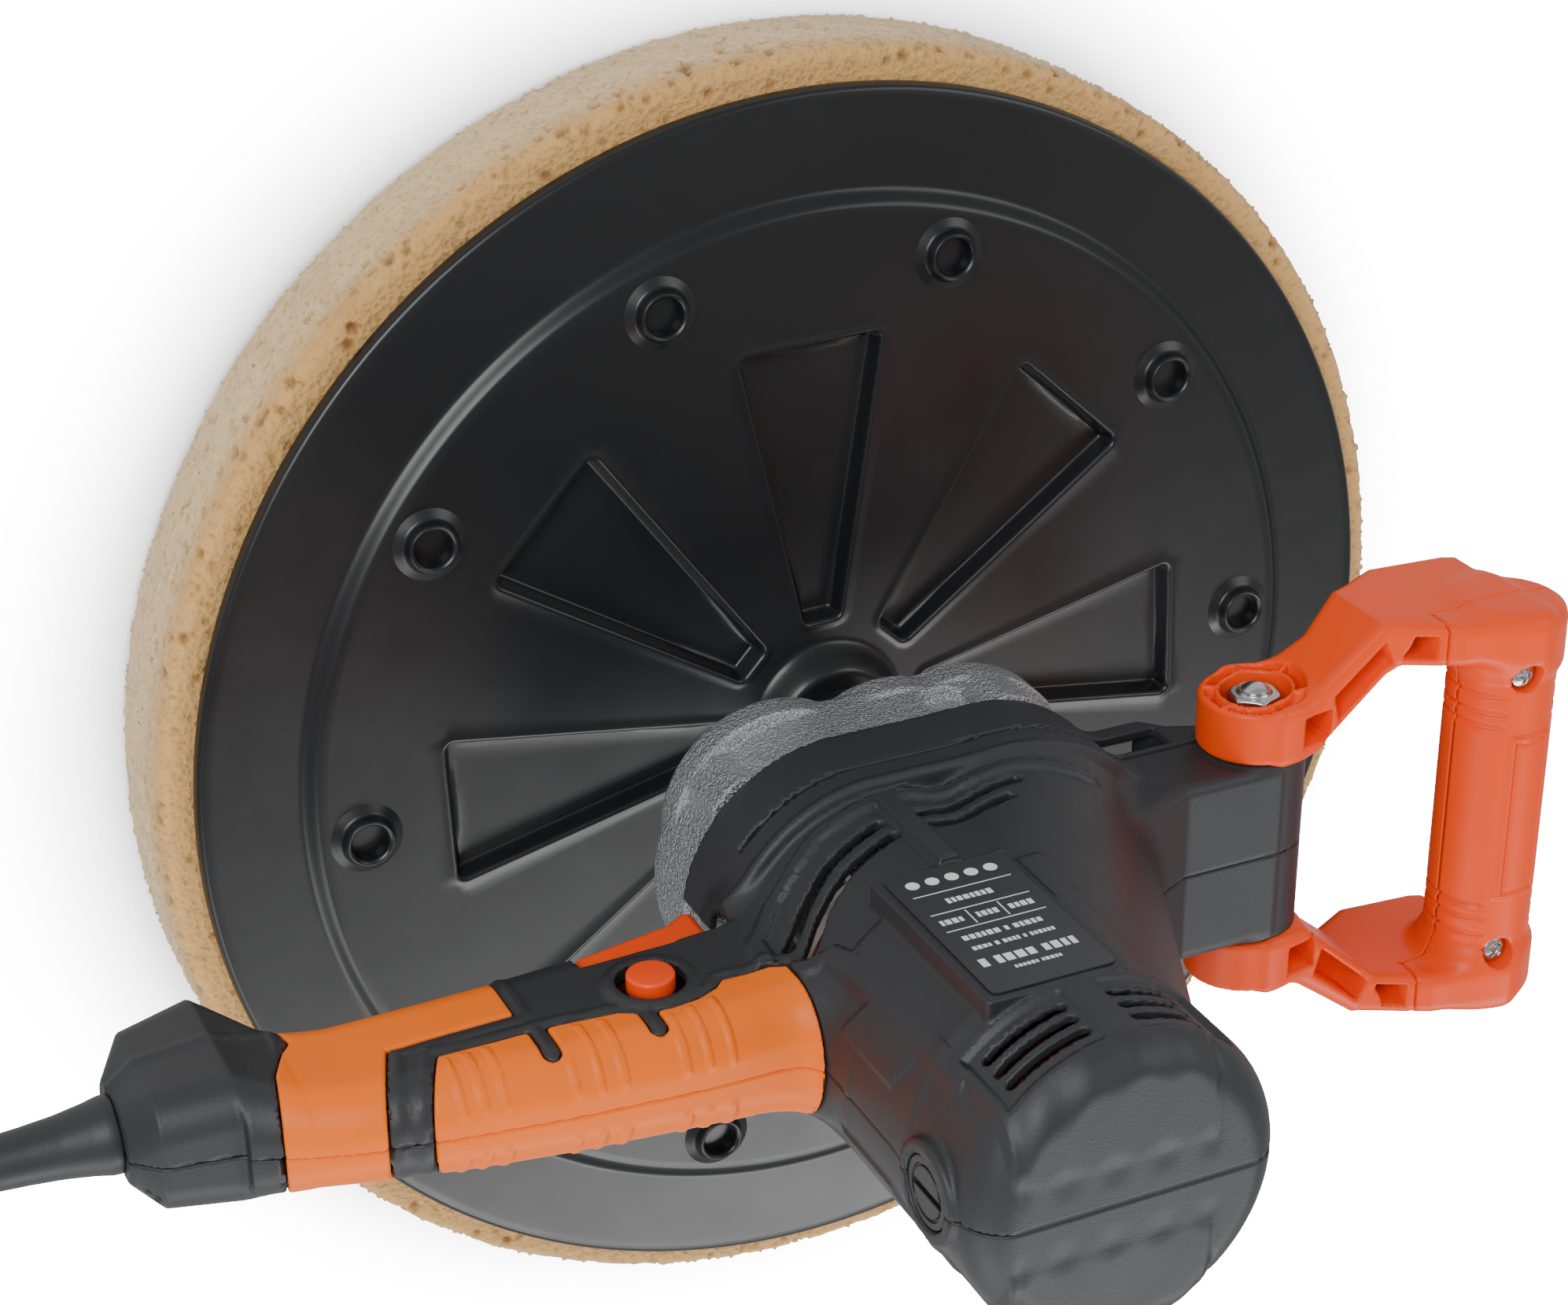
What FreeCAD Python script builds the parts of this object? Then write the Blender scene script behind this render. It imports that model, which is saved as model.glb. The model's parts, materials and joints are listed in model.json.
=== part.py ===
import FreeCAD, Part
import math
import os
from types import SimpleNamespace

import Sketcher
from FreeCAD import Placement, Rotation, Vector

# Hand-held rotary sponge float: a round sponge disc under a geared mains motor,
# with a main handle on one side and a hinged D-handle on the other.
# Origin at the centre of the sponge's working face, +Z along the spindle towards the motor,
# +X towards the D-handle, -X towards the main handle. Millimetres.

os.makedirs("parts", exist_ok=True)
doc = FreeCAD.newDocument("float")

DRIVING = {
    # sponge disc and backing plate
    "spongeRadius": 195, "spongeThick": 38, "spongeEdge": 5,
    "hookThick": 2, "plateRadius": 185, "plateRim": 4, "plateau": 3.5, "plateauRadius": 152,
    "stepRun": 5, "pocketCount": 8, "pocketDepth": 5.5, "pocketInner": 31, "pocketOuter": 115,
    "pocketInnerHalf": 5.5, "pocketOuterHalf": 21.5, "pocketTurn": 2,
    "bossCount": 10, "bossCircle": 139.9, "bossTurn": 2.26, "bossRadius": 8, "bossTall": 4.5,
    "bossCup": 5, "bossCupDeep": 5, "bossHole": 2, "hubRadius": 20, "hubTall": 8,
    # spindle and its bearings
    "spindleRadius": 6, "threadRadius": 7, "insertRadius": 12,
    "bearingOuter": 14, "bearingWide": 8, "bearingLowZ": 80, "bearingHighZ": 99,
    "runningFit": 0.03, "sealRadius": 10, "sealThick": 5,
    # gear case
    "motorOffset": 40, "caseBottom": 108, "jointPlane": 133, "caseRadius": 42, "caseWall": 4.5,
    "caseFloor": 4, "neckTop": 33, "neckWaist": 20, "neckEnd": 15, "neckWaistZ": 76, "neckBottom": 66,
    "gearPlateThick": 4, "bracketTop": 153, "bracketPlate": 4, "bracketRadius": 39.3, "bracketWall": 3,
    # gear train
    "finalModule": 1.5, "midModule": 1, "firstModule": 1, "gearGap": 1, "backlash": 0.14,
    "finalWide": 14, "midWide": 8, "firstWide": 7, "layTurn": 170.6, "idlerRadius": 4,
    # motor
    "shaftRadius": 4, "ballOuter": 11, "ballWide": 7, "topBallZ": 276, "coreRadius": 20.5,
    "coreLow": 190, "coreTall": 48, "statorBore": 21.4, "coilInner": 23,
    "coilOuter": 31, "coilOverhang": 9, "commRadius": 11, "commLow": 257, "commTall": 17,
    "fanRadius": 31, "fanLow": 168, "fanTall": 9, "brushZ": 265, "brushWide": 6, "brushTall": 10,
    "brushLong": 15, "capRadius": 9, "capThick": 3,
    # motor housing
    "wall": 3, "skirtRadius": 43, "skirtTop": 160, "barrelRadius": 40, "housingTop": 288,
    "topRound": 12, "shoulderTop": 252, "bracketHalf": 27, "hingeX": 72, "hingeZ": 158,
    "hingeRadius": 14.5,
    # D-handle
    "earThick": 15, "earRadius": 15, "earGap": 0.3, "boltRadius": 4, "gripX": 143, "gripZ": 170,
    "gripRadius": 14.5, "gripHalf": 60,
    # trigger, switch and lock button
    "triggerHalf": 11.4, "tongueHalf": 5.2, "triggerGap": 0.6,
    "pivotX": -127, "pivotZ": 161, "pinRadius": 1.5,
    "buttonX": -111, "buttonZ": 180, "buttonRadius": 6, "buttonFace": 18, "buttonRing": 10.5,
    "plungerX": -104, "plungerRadius": 2.5,
    # mains lead
    "cordRadius": 4, "sleeveLong": 52, "sleeveBase": 9.5, "sleeveTip": 5.5, "cordZ": 163,
    "endX": -236, "coilMid": 44, "coilHalf": 12,
}

sheet = doc.addObject("Spreadsheet::Sheet", "dims")
for row, (name, value) in enumerate(DRIVING.items(), start=1):
    sheet.set(f"A{row}", name)
    sheet.set(f"B{row}", str(value))
    sheet.setAlias(f"B{row}", name)
doc.recompute()


class Size:
    """A length worked out from the sheet: its number, and the expression that gives it."""

    def __init__(self, value, text):
        self.value = float(value)
        self.text = text

    def __float__(self):
        return self.value

    def __add__(self, other):
        return Size(self.value + float(other), f"({self.text} + {textOf(other)})")

    def __radd__(self, other):
        return Size(float(other) + self.value, f"({textOf(other)} + {self.text})")

    def __sub__(self, other):
        return Size(self.value - float(other), f"({self.text} - {textOf(other)})")

    def __rsub__(self, other):
        return Size(float(other) - self.value, f"({textOf(other)} - {self.text})")

    def __mul__(self, other):
        return Size(self.value * float(other), f"({self.text} * {textOf(other)})")

    __rmul__ = __mul__

    def __truediv__(self, other):
        return Size(self.value / float(other), f"({self.text} / {textOf(other)})")

    def __neg__(self):
        return Size(-self.value, f"(-1 * {self.text})")


def textOf(number):
    return number.text if isinstance(number, Size) else f"({float(number):.9g})"


d = SimpleNamespace(**{name: Size(getattr(sheet, name), f"dims.{name}") for name in DRIVING})
pieces = []

ALONG = {
    "z": Rotation(),
    "y": Rotation(Vector(1, 0, 0), -90),
    "x": Rotation(Vector(0, 1, 0), 90),
}


def bind(item, **sizes):
    for prop, size in sizes.items():
        if isinstance(size, Size):
            item.setExpression(prop, size.text)
        else:
            setattr(item, prop, size)
    return item


def place(item, spot, turn=None):
    item.Placement = Placement(Vector(*[float(c) for c in spot]), turn or Rotation())
    for axis, size in zip("xyz", spot):
        if isinstance(size, Size):
            item.setExpression("Placement.Base." + axis, size.text)
    return item


def keep(item, label):
    item.Label = label
    pieces.append(item)
    return item


def rod(name, radius, tall, spot=(0, 0, 0), along="z", turn=None):
    item = bind(doc.addObject("Part::Cylinder", name), Radius=radius, Height=tall)
    return place(item, spot, turn or ALONG[along])


def block(name, sides, corner, turn=None):
    item = bind(doc.addObject("Part::Box", name), Length=sides[0], Width=sides[1], Height=sides[2])
    return place(item, corner, turn)


def join(name, *items):
    item = doc.addObject("Part::MultiFuse", name)
    item.Shapes = list(items)
    item.Refine = True
    return item


def group(name, *items):
    item = doc.addObject("Part::Compound", name)
    item.Links = list(items)
    return item


def cut(name, base, *tools):
    item = doc.addObject("Part::Cut", name)
    item.Base = base
    item.Tool = tools[0] if len(tools) == 1 else join(name + "_tools", *tools)
    return item


def common(name, *items):
    item = doc.addObject("Part::MultiCommon", name)
    item.Shapes = list(items)
    return item


def plane(body, role):
    return next(f for f in body.Origin.OriginFeatures if f.Role == role)


def outline(body, name, role, corners, lift=0):
    """A closed sketch whose corners are tied to the sheet, on one of the body's origin planes."""
    sketch = body.newObject("Sketcher::SketchObject", name)
    sketch.AttachmentSupport = [(plane(body, role), "")]
    sketch.MapMode = "FlatFace"
    if isinstance(lift, Size) or lift:
        sketch.AttachmentOffset = Placement(Vector(0, 0, float(lift)), Rotation())
        if isinstance(lift, Size):
            sketch.setExpression("AttachmentOffset.Base.z", lift.text)
    spots = [Vector(float(x), float(y), 0) for x, y in corners]
    for i, spot in enumerate(spots):
        sketch.addGeometry(Part.LineSegment(spot, spots[(i + 1) % len(spots)]), False)
    for i in range(len(spots)):
        sketch.addConstraint(Sketcher.Constraint("Coincident", i, 2, (i + 1) % len(spots), 1))
    for i, corner in enumerate(corners):
        for kind, size in zip(("DistanceX", "DistanceY"), corner):
            index = sketch.addConstraint(Sketcher.Constraint(kind, -1, 1, i, 1, float(size)))
            if isinstance(size, Size):
                sketch.setExpression(f"Constraints[{index}]", size.text)
    return sketch


def turned(name, corners, spot=(0, 0, 0), along="z"):
    """A body of revolution about its own axis, from (radius, height) corners."""
    body = doc.addObject("PartDesign::Body", name)
    profile = outline(body, name + "_profile", "XZ_Plane", corners)
    spin = body.newObject("PartDesign::Revolution", name + "_turn")
    spin.Profile = profile
    spin.ReferenceAxis = (profile, ["V_Axis"])
    spin.Angle = 360
    profile.Visibility = False
    return place(body, spot, ALONG[along])


def ring(name, inner, outer, low, high, spot=(0, 0, 0), along="z"):
    return turned(name, [(inner, low), (outer, low), (outer, high), (inner, high)], spot, along)


def slab(name, corners, low, thick, spot=(0, 0, 0), role="XY_Plane"):
    """A padded outline: drawn on XY it rises from `low` along Z, on XZ it spans y = low..low+thick."""
    body = doc.addObject("PartDesign::Body", name)
    lift = low if role == "XY_Plane" else -1 * (low + thick)
    sketch = outline(body, name + "_outline", role, corners, lift)
    pad = body.newObject("PartDesign::Pad", name + "_pad")
    pad.Profile = sketch
    bind(pad, Length=thick)
    sketch.Visibility = False
    return place(body, spot)


# ---- shared places ---------------------------------------------------------------------------

motorX = -d.motorOffset
gearPlateLow = d.jointPlane - d.gearPlateThick
bracketHigh = d.bracketTop + d.bracketPlate


def polar(radius, degrees, centre=(0, 0)):
    """X and y at an angle round a centre."""
    turn = math.radians(degrees)
    return centre[0] + radius * math.cos(turn), centre[1] + radius * math.sin(turn)


def obround(name, radius, low, tall):
    """The upright shape that wraps the motor axis and the spindle axis."""
    return join(name,
                rod(name + "_a", radius, tall, (motorX, 0, low)),
                rod(name + "_b", radius, tall, (0, 0, low)),
                block(name + "_c", (d.motorOffset, radius * 2, tall), (motorX, -radius, low)))


# ---- sponge disc, plate and spindle ----------------------------------------------------------

hookLow = d.spongeThick
plateLow = hookLow + d.hookThick
rimTop = plateLow + d.plateRim
plateauTop = rimTop + d.plateau
hubTop = plateauTop + d.hubTall

keep(turned("sponge_pad", [
    (0, 0), (d.spongeRadius - d.spongeEdge, 0), (d.spongeRadius, d.spongeEdge),
    (d.spongeRadius, hookLow - d.spongeEdge), (d.spongeRadius - d.spongeEdge, hookLow), (0, hookLow),
]), "sponge_pad")
keep(ring("hook_disc", d.insertRadius, d.plateRadius - 1, hookLow, plateLow), "hook_disc")

plate = turned("backing_plate", [
    (d.insertRadius, plateLow), (d.plateRadius, plateLow), (d.plateRadius, rimTop - 1),
    (d.plateRadius - 1, rimTop), (d.plateauRadius + d.stepRun, rimTop), (d.plateauRadius, plateauTop),
    (d.hubRadius + 4, plateauTop), (d.hubRadius, plateauTop + 2), (d.hubRadius - 1, hubTop - 3),
    (d.hubRadius - 4, hubTop), (d.insertRadius, hubTop),
])


def platePattern(feature, count, name):
    pattern = plate.newObject("PartDesign::PolarPattern", name)
    pattern.Originals = [feature]
    pattern.Axis = (plane(plate, "Z_Axis"), [""])
    pattern.Angle = 360
    bind(pattern, Occurrences=count)
    plate.Tip = pattern


def circleSketch(name, x, y, radius, lift):
    sketch = plate.newObject("Sketcher::SketchObject", name)
    sketch.AttachmentSupport = [(plane(plate, "XY_Plane"), "")]
    sketch.MapMode = "FlatFace"
    sketch.AttachmentOffset = Placement(Vector(0, 0, float(lift)), Rotation())
    sketch.setExpression("AttachmentOffset.Base.z", lift.text)
    sketch.addGeometry(Part.Circle(Vector(float(x), float(y), 0), Vector(0, 0, 1), float(radius)), False)
    rules = (("DistanceX", (-1, 1, 0, 3), x), ("DistanceY", (-1, 1, 0, 3), y), ("Radius", (0,), radius))
    for kind, ends, size in rules:
        index = sketch.addConstraint(Sketcher.Constraint(kind, *ends, float(size)))
        sketch.setExpression(f"Constraints[{index}]", size.text)
    return sketch


pocketTurn = math.radians(float(d.pocketTurn))


def pocketCorner(reach, half):
    """A corner of the first trapezoid pocket, turned off the X axis."""
    return (reach * math.cos(pocketTurn) - half * math.sin(pocketTurn),
            reach * math.sin(pocketTurn) + half * math.cos(pocketTurn))


cornerCut = 4.0
pocketShape = outline(plate, "pocket_outline", "XY_Plane", [
    pocketCorner(d.pocketInner, -d.pocketInnerHalf),
    pocketCorner(d.pocketOuter - cornerCut, -d.pocketOuterHalf),
    pocketCorner(d.pocketOuter, -d.pocketOuterHalf + cornerCut),
    pocketCorner(d.pocketOuter, d.pocketOuterHalf - cornerCut),
    pocketCorner(d.pocketOuter - cornerCut, d.pocketOuterHalf),
    pocketCorner(d.pocketInner, d.pocketInnerHalf),
], plateauTop)
pocket = plate.newObject("PartDesign::Pocket", "wedge_pocket")
pocket.Profile = pocketShape
bind(pocket, Length=d.pocketDepth)
platePattern(pocket, d.pocketCount, "pocket_ring")

bossX, bossY = polar(d.bossCircle, float(d.bossTurn))
boss = plate.newObject("PartDesign::Pad", "boss")
boss.Profile = circleSketch("boss_outline", bossX, bossY, d.bossRadius, plateauTop - 0.5)
boss.TaperAngle = -12
bind(boss, Length=d.bossTall + 0.5)
platePattern(boss, d.bossCount, "boss_ring")
cup = plate.newObject("PartDesign::Pocket", "boss_cup")
cup.Profile = circleSketch("cup_outline", bossX, bossY, d.bossCup, plateauTop + d.bossTall)
bind(cup, Length=d.bossCupDeep)
platePattern(cup, d.bossCount, "cup_ring")
hole = plate.newObject("PartDesign::Pocket", "boss_hole")
hole.Profile = circleSketch("hole_outline", bossX, bossY, d.bossHole, plateauTop)
bind(hole, Length=d.plateau + 1.5)
platePattern(hole, d.bossCount, "hole_ring")
keep(plate, "backing_plate")

threadTop = hubTop + 2
keep(ring("hub_insert", d.threadRadius, d.insertRadius, plateLow, hubTop), "hub_insert")
finalLow = d.caseBottom + d.caseFloor + d.gearGap
finalHigh = finalLow + d.finalWide
topJournal = 5.0
keyWide, keyDeep = 4.0, 1.5
spindleBlank = turned("spindle_blank", [
    (0, plateLow + 2), (d.threadRadius, plateLow + 2), (d.threadRadius, threadTop),
    (d.spindleRadius, threadTop), (d.spindleRadius, finalLow - 1), (d.spindleRadius + 2, finalLow - 1),
    (d.spindleRadius + 2, finalLow), (d.threadRadius, finalLow), (d.threadRadius, finalHigh + 0.5),
    (topJournal, finalHigh + 0.5), (topJournal, d.jointPlane), (0, d.jointPlane),
])
keySlot = block("key_slot", (keyDeep, keyWide, d.finalWide),
                (d.threadRadius - keyDeep, -keyWide / 2, finalLow))
keep(cut("spindle", spindleBlank, keySlot), "spindle")
keep(block("spindle_key", (keyDeep * 2, keyWide, d.finalWide),
           (d.threadRadius - keyDeep, -keyWide / 2, finalLow)), "spindle_key")
keep(ring("circlip", d.spindleRadius, d.spindleRadius + 3, d.bearingHighZ - 1.6, d.bearingHighZ - 0.2),
     "spindle_circlip")


# ---- gear train ------------------------------------------------------------------------------

PRESSURE = math.radians(20)
STAGES = {  # wheel teeth, pinion teeth, and how far the pinion's teeth are shifted outwards
    "first": (49, 7, 0.59, 0.7),
    "mid": (44, 9, 0.50, 0.85),
    "final": (40, 10, 0.42, 0.9),
}


def involute(angle):
    return math.tan(angle) - angle


def gearShape(teeth, module, shift, tip, wide, turn):
    """A spur gear of involute teeth on the Z axis, with one tooth centred on `turn` (radians)."""
    pitch = module * teeth / 2
    base = pitch * math.cos(PRESSURE)
    outer = pitch + module * (tip + shift)
    root = pitch - module * (1.25 - shift)
    low = max(base, root)
    thick = module * (math.pi / 2 + 2 * shift * math.tan(PRESSURE)) - float(d.backlash)

    def half(radius):
        return thick / (2 * pitch) + involute(PRESSURE) - involute(math.acos(base / radius))

    def at(radius, angle):
        return Vector(radius * math.cos(angle), radius * math.sin(angle), 0)

    edges = []
    step = 2 * math.pi / teeth
    middle = (low + outer) / 2
    lowHalf = half(low)
    for index in range(teeth):
        centre = turn + index * step
        if low > root:
            edges.append(Part.makeLine(at(root, centre - lowHalf), at(low, centre - lowHalf)))
        edges.append(Part.Arc(at(low, centre - lowHalf), at(middle, centre - half(middle)),
                              at(outer, centre - half(outer))).toShape())
        edges.append(Part.Arc(at(outer, centre - half(outer)), at(outer, centre),
                              at(outer, centre + half(outer))).toShape())
        edges.append(Part.Arc(at(outer, centre + half(outer)), at(middle, centre + half(middle)),
                              at(low, centre + lowHalf)).toShape())
        if low > root:
            edges.append(Part.makeLine(at(low, centre + lowHalf), at(root, centre + lowHalf)))
        edges.append(Part.Arc(at(root, centre + lowHalf), at(root, centre + step / 2),
                              at(root, centre + step - lowHalf)).toShape())
    face = Part.Face(Part.Wire(Part.__sortEdges__(edges)))
    return face.extrude(Vector(0, 0, wide))


def shaped(name, shape, spot=(0, 0, 0)):
    item = doc.addObject("Part::Feature", name)
    item.Shape = shape
    return place(item, spot)


def spacing(stage, module):
    wheel, pinion = STAGES[stage][:2]
    return float(module) * (wheel + pinion) / 2


# The three axes between motor and spindle: the final idler is laid off from the spindle,
# and the first idler stands where the circles of the other two spacings cross.
motorAt = Vector(float(motorX), 0, 0)
secondAt = Vector(spacing("final", d.finalModule), 0, 0)
secondAt = Rotation(Vector(0, 0, 1), float(d.layTurn)).multVec(secondAt)
reach = secondAt.sub(motorAt)
armFirst, armMid = spacing("first", d.firstModule), spacing("mid", d.midModule)
bend = math.acos((armFirst ** 2 + reach.Length ** 2 - armMid ** 2) / (2 * armFirst * reach.Length))
firstTurn = math.atan2(reach.y, reach.x) - bend
firstAt = motorAt.add(Vector(armFirst * math.cos(firstTurn), armFirst * math.sin(firstTurn), 0))
print("idler axes", firstAt, secondAt)


def meshed(stage, module, pinionAt, wheelAt, pinionWide, wheelWide):
    """The pinion and the wheel of one stage, in mesh along the line between their axes."""
    wheel, pinion, shift, tip = STAGES[stage]
    line = wheelAt.sub(pinionAt)
    facing = math.atan2(line.y, line.x)
    module = float(module)
    return (gearShape(pinion, module, shift, tip, float(pinionWide), facing),
            gearShape(wheel, module, -shift, 1.0, float(wheelWide), facing + math.pi + math.pi / wheel))


def webbed(shape, bore, pitch, wide):
    """A wheel with its bore, and a thinned web between rim and hub."""
    wheel = shape.cut(Part.makeCylinder(float(bore), wide))
    rim, hub, deep = pitch - 5, float(bore) + 3.5, wide * 0.25
    groove = Part.makeCylinder(rim, deep).cut(Part.makeCylinder(hub, deep))
    top = groove.copy()
    top.translate(Vector(0, 0, wide - deep))
    return wheel.cut(groove).cut(top)


midLow = d.jointPlane + d.gearGap
firstLow = midLow + d.midWide + 2 * d.gearGap
origin = Vector(0, 0, 0)
overlap = 0.5
finalPinion, finalWheel = meshed("final", d.finalModule, secondAt, origin,
                                 d.finalWide + 2 * overlap, d.finalWide)
midPinion, midWheel = meshed("mid", d.midModule, firstAt, secondAt, d.midWide + 2 * overlap, d.midWide)
firstPinion, firstWheel = meshed("first", d.firstModule, motorAt, firstAt,
                                 d.firstWide + 2 * overlap, d.firstWide)

outputWheel = webbed(finalWheel, d.threadRadius, float(d.finalModule) * 20, float(d.finalWide))
keyWay = Part.makeBox(keyDeep * 2, keyWide, float(d.finalWide),
                      Vector(float(d.threadRadius) - keyDeep, -keyWide / 2, 0))
keep(shaped("output_gear", outputWheel.cut(keyWay), (0, 0, finalLow)), "output_gear")
secondX, secondY = secondAt.x, secondAt.y
keep(shaped("second_wheel", webbed(midWheel, d.idlerRadius, float(d.midModule) * 22, float(d.midWide)),
            (secondX, secondY, midLow)), "second_wheel")
firstX, firstY = firstAt.x, firstAt.y
firstSeat = 3.2
keep(shaped("first_wheel", webbed(firstWheel, firstSeat, float(d.firstModule) * 24.5,
                                  float(d.firstWide)), (firstX, firstY, firstLow)), "first_wheel")
journal = 3.0
idlerBossLow = d.caseBottom - 6
firstShaft = turned("first_shaft", [
    (0, gearPlateLow), (journal, gearPlateLow), (journal, midLow - overlap), (firstSeat, midLow - overlap),
    (firstSeat, firstLow + d.firstWide), (journal, firstLow + d.firstWide),
    (journal, bracketHigh + 2), (0, bracketHigh + 2),
], (firstX, firstY, 0))
keep(join("first_pinion_shaft", firstShaft,
          shaped("mid_pinion", midPinion, (firstX, firstY, midLow - overlap))), "first_pinion_shaft")
secondShaft = turned("second_shaft", [
    (0, idlerBossLow + 2), (d.idlerRadius, idlerBossLow + 2),
    (d.idlerRadius, midLow + d.midWide + 0.5), (0, midLow + d.midWide + 0.5),
], (secondX, secondY, 0))
keep(join("second_pinion_shaft", secondShaft,
          shaped("final_pinion", finalPinion, (secondX, secondY, finalLow - overlap))),
     "second_pinion_shaft")


# ---- gear case, gear plate and motor bracket -------------------------------------------------

screwRadius = 2.0
screwHole = screwRadius + 0.1
bossReach = 36.8
lugReach = 38.0
screwSpots = [polar(bossReach, a, (motorX, 0)) for a in (132, -132)]
screwSpots += [polar(bossReach, a) for a in (70, -70)]
lugSpots = [polar(lugReach, a, (motorX, 0)) for a in (132, -132)] + [polar(lugReach, a) for a in (70, -70)]


def rodsAt(name, spots, radius, low, tall):
    return [rod(f"{name}_{i}", radius, tall, (x, y, low)) for i, (x, y) in enumerate(spots)]


def roundLevelEdges(name, item, radius, level):
    """Round the edges of an upright shape that lie in one level plane."""
    doc.recompute()
    radius, level = float(radius), float(level)
    edges = [i + 1 for i, e in enumerate(item.Shape.Edges)
             if abs(e.BoundBox.ZMin - level) < 1e-4 and abs(e.BoundBox.ZMax - level) < 1e-4]
    fillet = doc.addObject("Part::Fillet", name)
    fillet.Base = item
    fillet.Edges = [(i, radius, radius) for i in edges]
    return fillet


caseTall = d.jointPlane - d.caseBottom
caseRound = 5.0
lugStart = 7.0
caseBossRadius = 4.6
caseBossStart = 3.0
caseOuter = roundLevelEdges("case_rounded", obround("case_outer", d.caseRadius, d.caseBottom, caseTall),
                            caseRound, d.caseBottom)
neck = turned("case_neck", [
    (0, d.neckBottom), (d.neckEnd, d.neckBottom), (d.neckWaist, d.neckWaistZ),
    (d.neckTop, d.caseBottom), (d.neckTop, d.caseBottom + 2), (0, d.caseBottom + 2),
])
caseLugs = rodsAt("case_lug", lugSpots, 7, d.caseBottom + lugStart, caseTall - lugStart)
idlerBoss = rod("idler_boss", 8, 10, (secondX, secondY, idlerBossLow))
caseBlank = join("case_blank", caseOuter, neck, idlerBoss, *caseLugs)
cavityLow = d.caseBottom + d.caseFloor
caseCavity = obround("case_cavity", d.caseRadius - d.caseWall, cavityLow, caseTall)
plateSeat = obround("plate_seat", d.bracketRadius, gearPlateLow, d.gearPlateThick + 1)
spindleBore = turned("case_bores", [
    (0, d.neckBottom - 1), (d.sealRadius, d.neckBottom - 1), (d.sealRadius, d.neckBottom + d.sealThick),
    (d.spindleRadius + 2, d.neckBottom + d.sealThick), (d.spindleRadius + 2, d.bearingLowZ),
    (d.bearingOuter, d.bearingLowZ), (d.bearingOuter, cavityLow + 1), (0, cavityLow + 1),
])
caseShell = cut("case_shell", caseBlank, caseCavity, plateSeat, spindleBore)
caseBosses = rodsAt("case_boss", screwSpots, caseBossRadius, d.caseBottom + caseBossStart,
                    gearPlateLow - d.caseBottom - caseBossStart)
caseSolid = join("case_solid", caseShell, *caseBosses)
screwHead = 4.0
headDeep = 3.0
headSeats = rodsAt("head_seat", screwSpots, screwHead + 0.2, d.caseBottom - 1, headDeep + 1)
caseHoles = rodsAt("case_hole", screwSpots, screwHole, d.caseBottom, caseTall)
idlerBore = rod("idler_bore", d.idlerRadius + d.runningFit, 30, (secondX, secondY, idlerBossLow + 2))
waterRecess = block("side_recess", (13, 8, 10), (-9, d.caseRadius - 2, d.caseBottom + 12))
keep(cut("gear_case", caseSolid, idlerBore, waterRecess, *headSeats, *caseHoles), "gear_case")

gearPlate = obround("gear_plate_blank", d.bracketRadius, gearPlateLow, d.gearPlateThick)
plateHoles = rodsAt("gear_plate_hole", screwSpots, screwHole, gearPlateLow - 1, d.gearPlateThick + 2)
plateBores = [
    rod(name, radius + d.runningFit, d.gearPlateThick + 2, (x, y, gearPlateLow - 1))
    for name, radius, x, y in (
        ("plate_bore_spindle", topJournal, 0, 0),
        ("plate_bore_second", float(d.idlerRadius), secondX, secondY),
        ("plate_bore_first", journal, firstX, firstY),
    )
]
keep(cut("gear_plate", gearPlate, *plateHoles, *plateBores), "gear_plate")

bracketTall = bracketHigh - d.jointPlane
bracketShell = cut("bracket_shell",
                   obround("bracket_outer", d.bracketRadius, d.jointPlane, bracketTall),
                   obround("bracket_inner", d.bracketRadius - d.bracketWall, d.jointPlane - 1,
                           d.bracketTop - d.jointPlane + 1))
bracketBosses = rodsAt("bracket_boss", screwSpots, 5, d.jointPlane, d.bracketTop - d.jointPlane)
ballSeatLow = bracketHigh + 1
bracketBlank = join("bracket_blank", bracketShell,
                    rod("ball_boss", d.ballOuter + 3, d.ballWide + 1, (motorX, 0, bracketHigh)),
                    rod("first_boss", 7, 4, (firstX, firstY, bracketHigh)), *bracketBosses)
bracketClip = common("bracket_clip", bracketBlank,
                     obround("bracket_bound", d.bracketRadius, d.jointPlane, bracketTall + 20))
bracketCuts = rodsAt("bracket_hole", screwSpots, screwRadius, d.jointPlane - 1, 12)
bracketCuts += [
    rod("ball_seat", d.ballOuter, 20, (motorX, 0, ballSeatLow)),
    rod("shaft_pass", d.shaftRadius + 2, 20, (motorX, 0, d.bracketTop - 1)),
    rod("first_bore", journal + d.runningFit, bracketHigh + 2.5 - d.bracketTop + 1,
        (firstX, firstY, d.bracketTop - 1)),
]
keep(cut("motor_bracket", bracketClip, *bracketCuts), "motor_bracket")

caseScrews = []
for i, (x, y) in enumerate(screwSpots):
    shank = rod(f"case_screw_shank_{i}", screwRadius, d.jointPlane + 8 - d.caseBottom, (x, y, d.caseBottom))
    head = rod(f"case_screw_head_{i}", screwHead, headDeep - 0.3, (x, y, d.caseBottom - 0.7))
    caseScrews.append(join(f"case_screw_{i}", shank, head))
keep(group("gear_case_screws", *caseScrews), "gear_case_screws")

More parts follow.
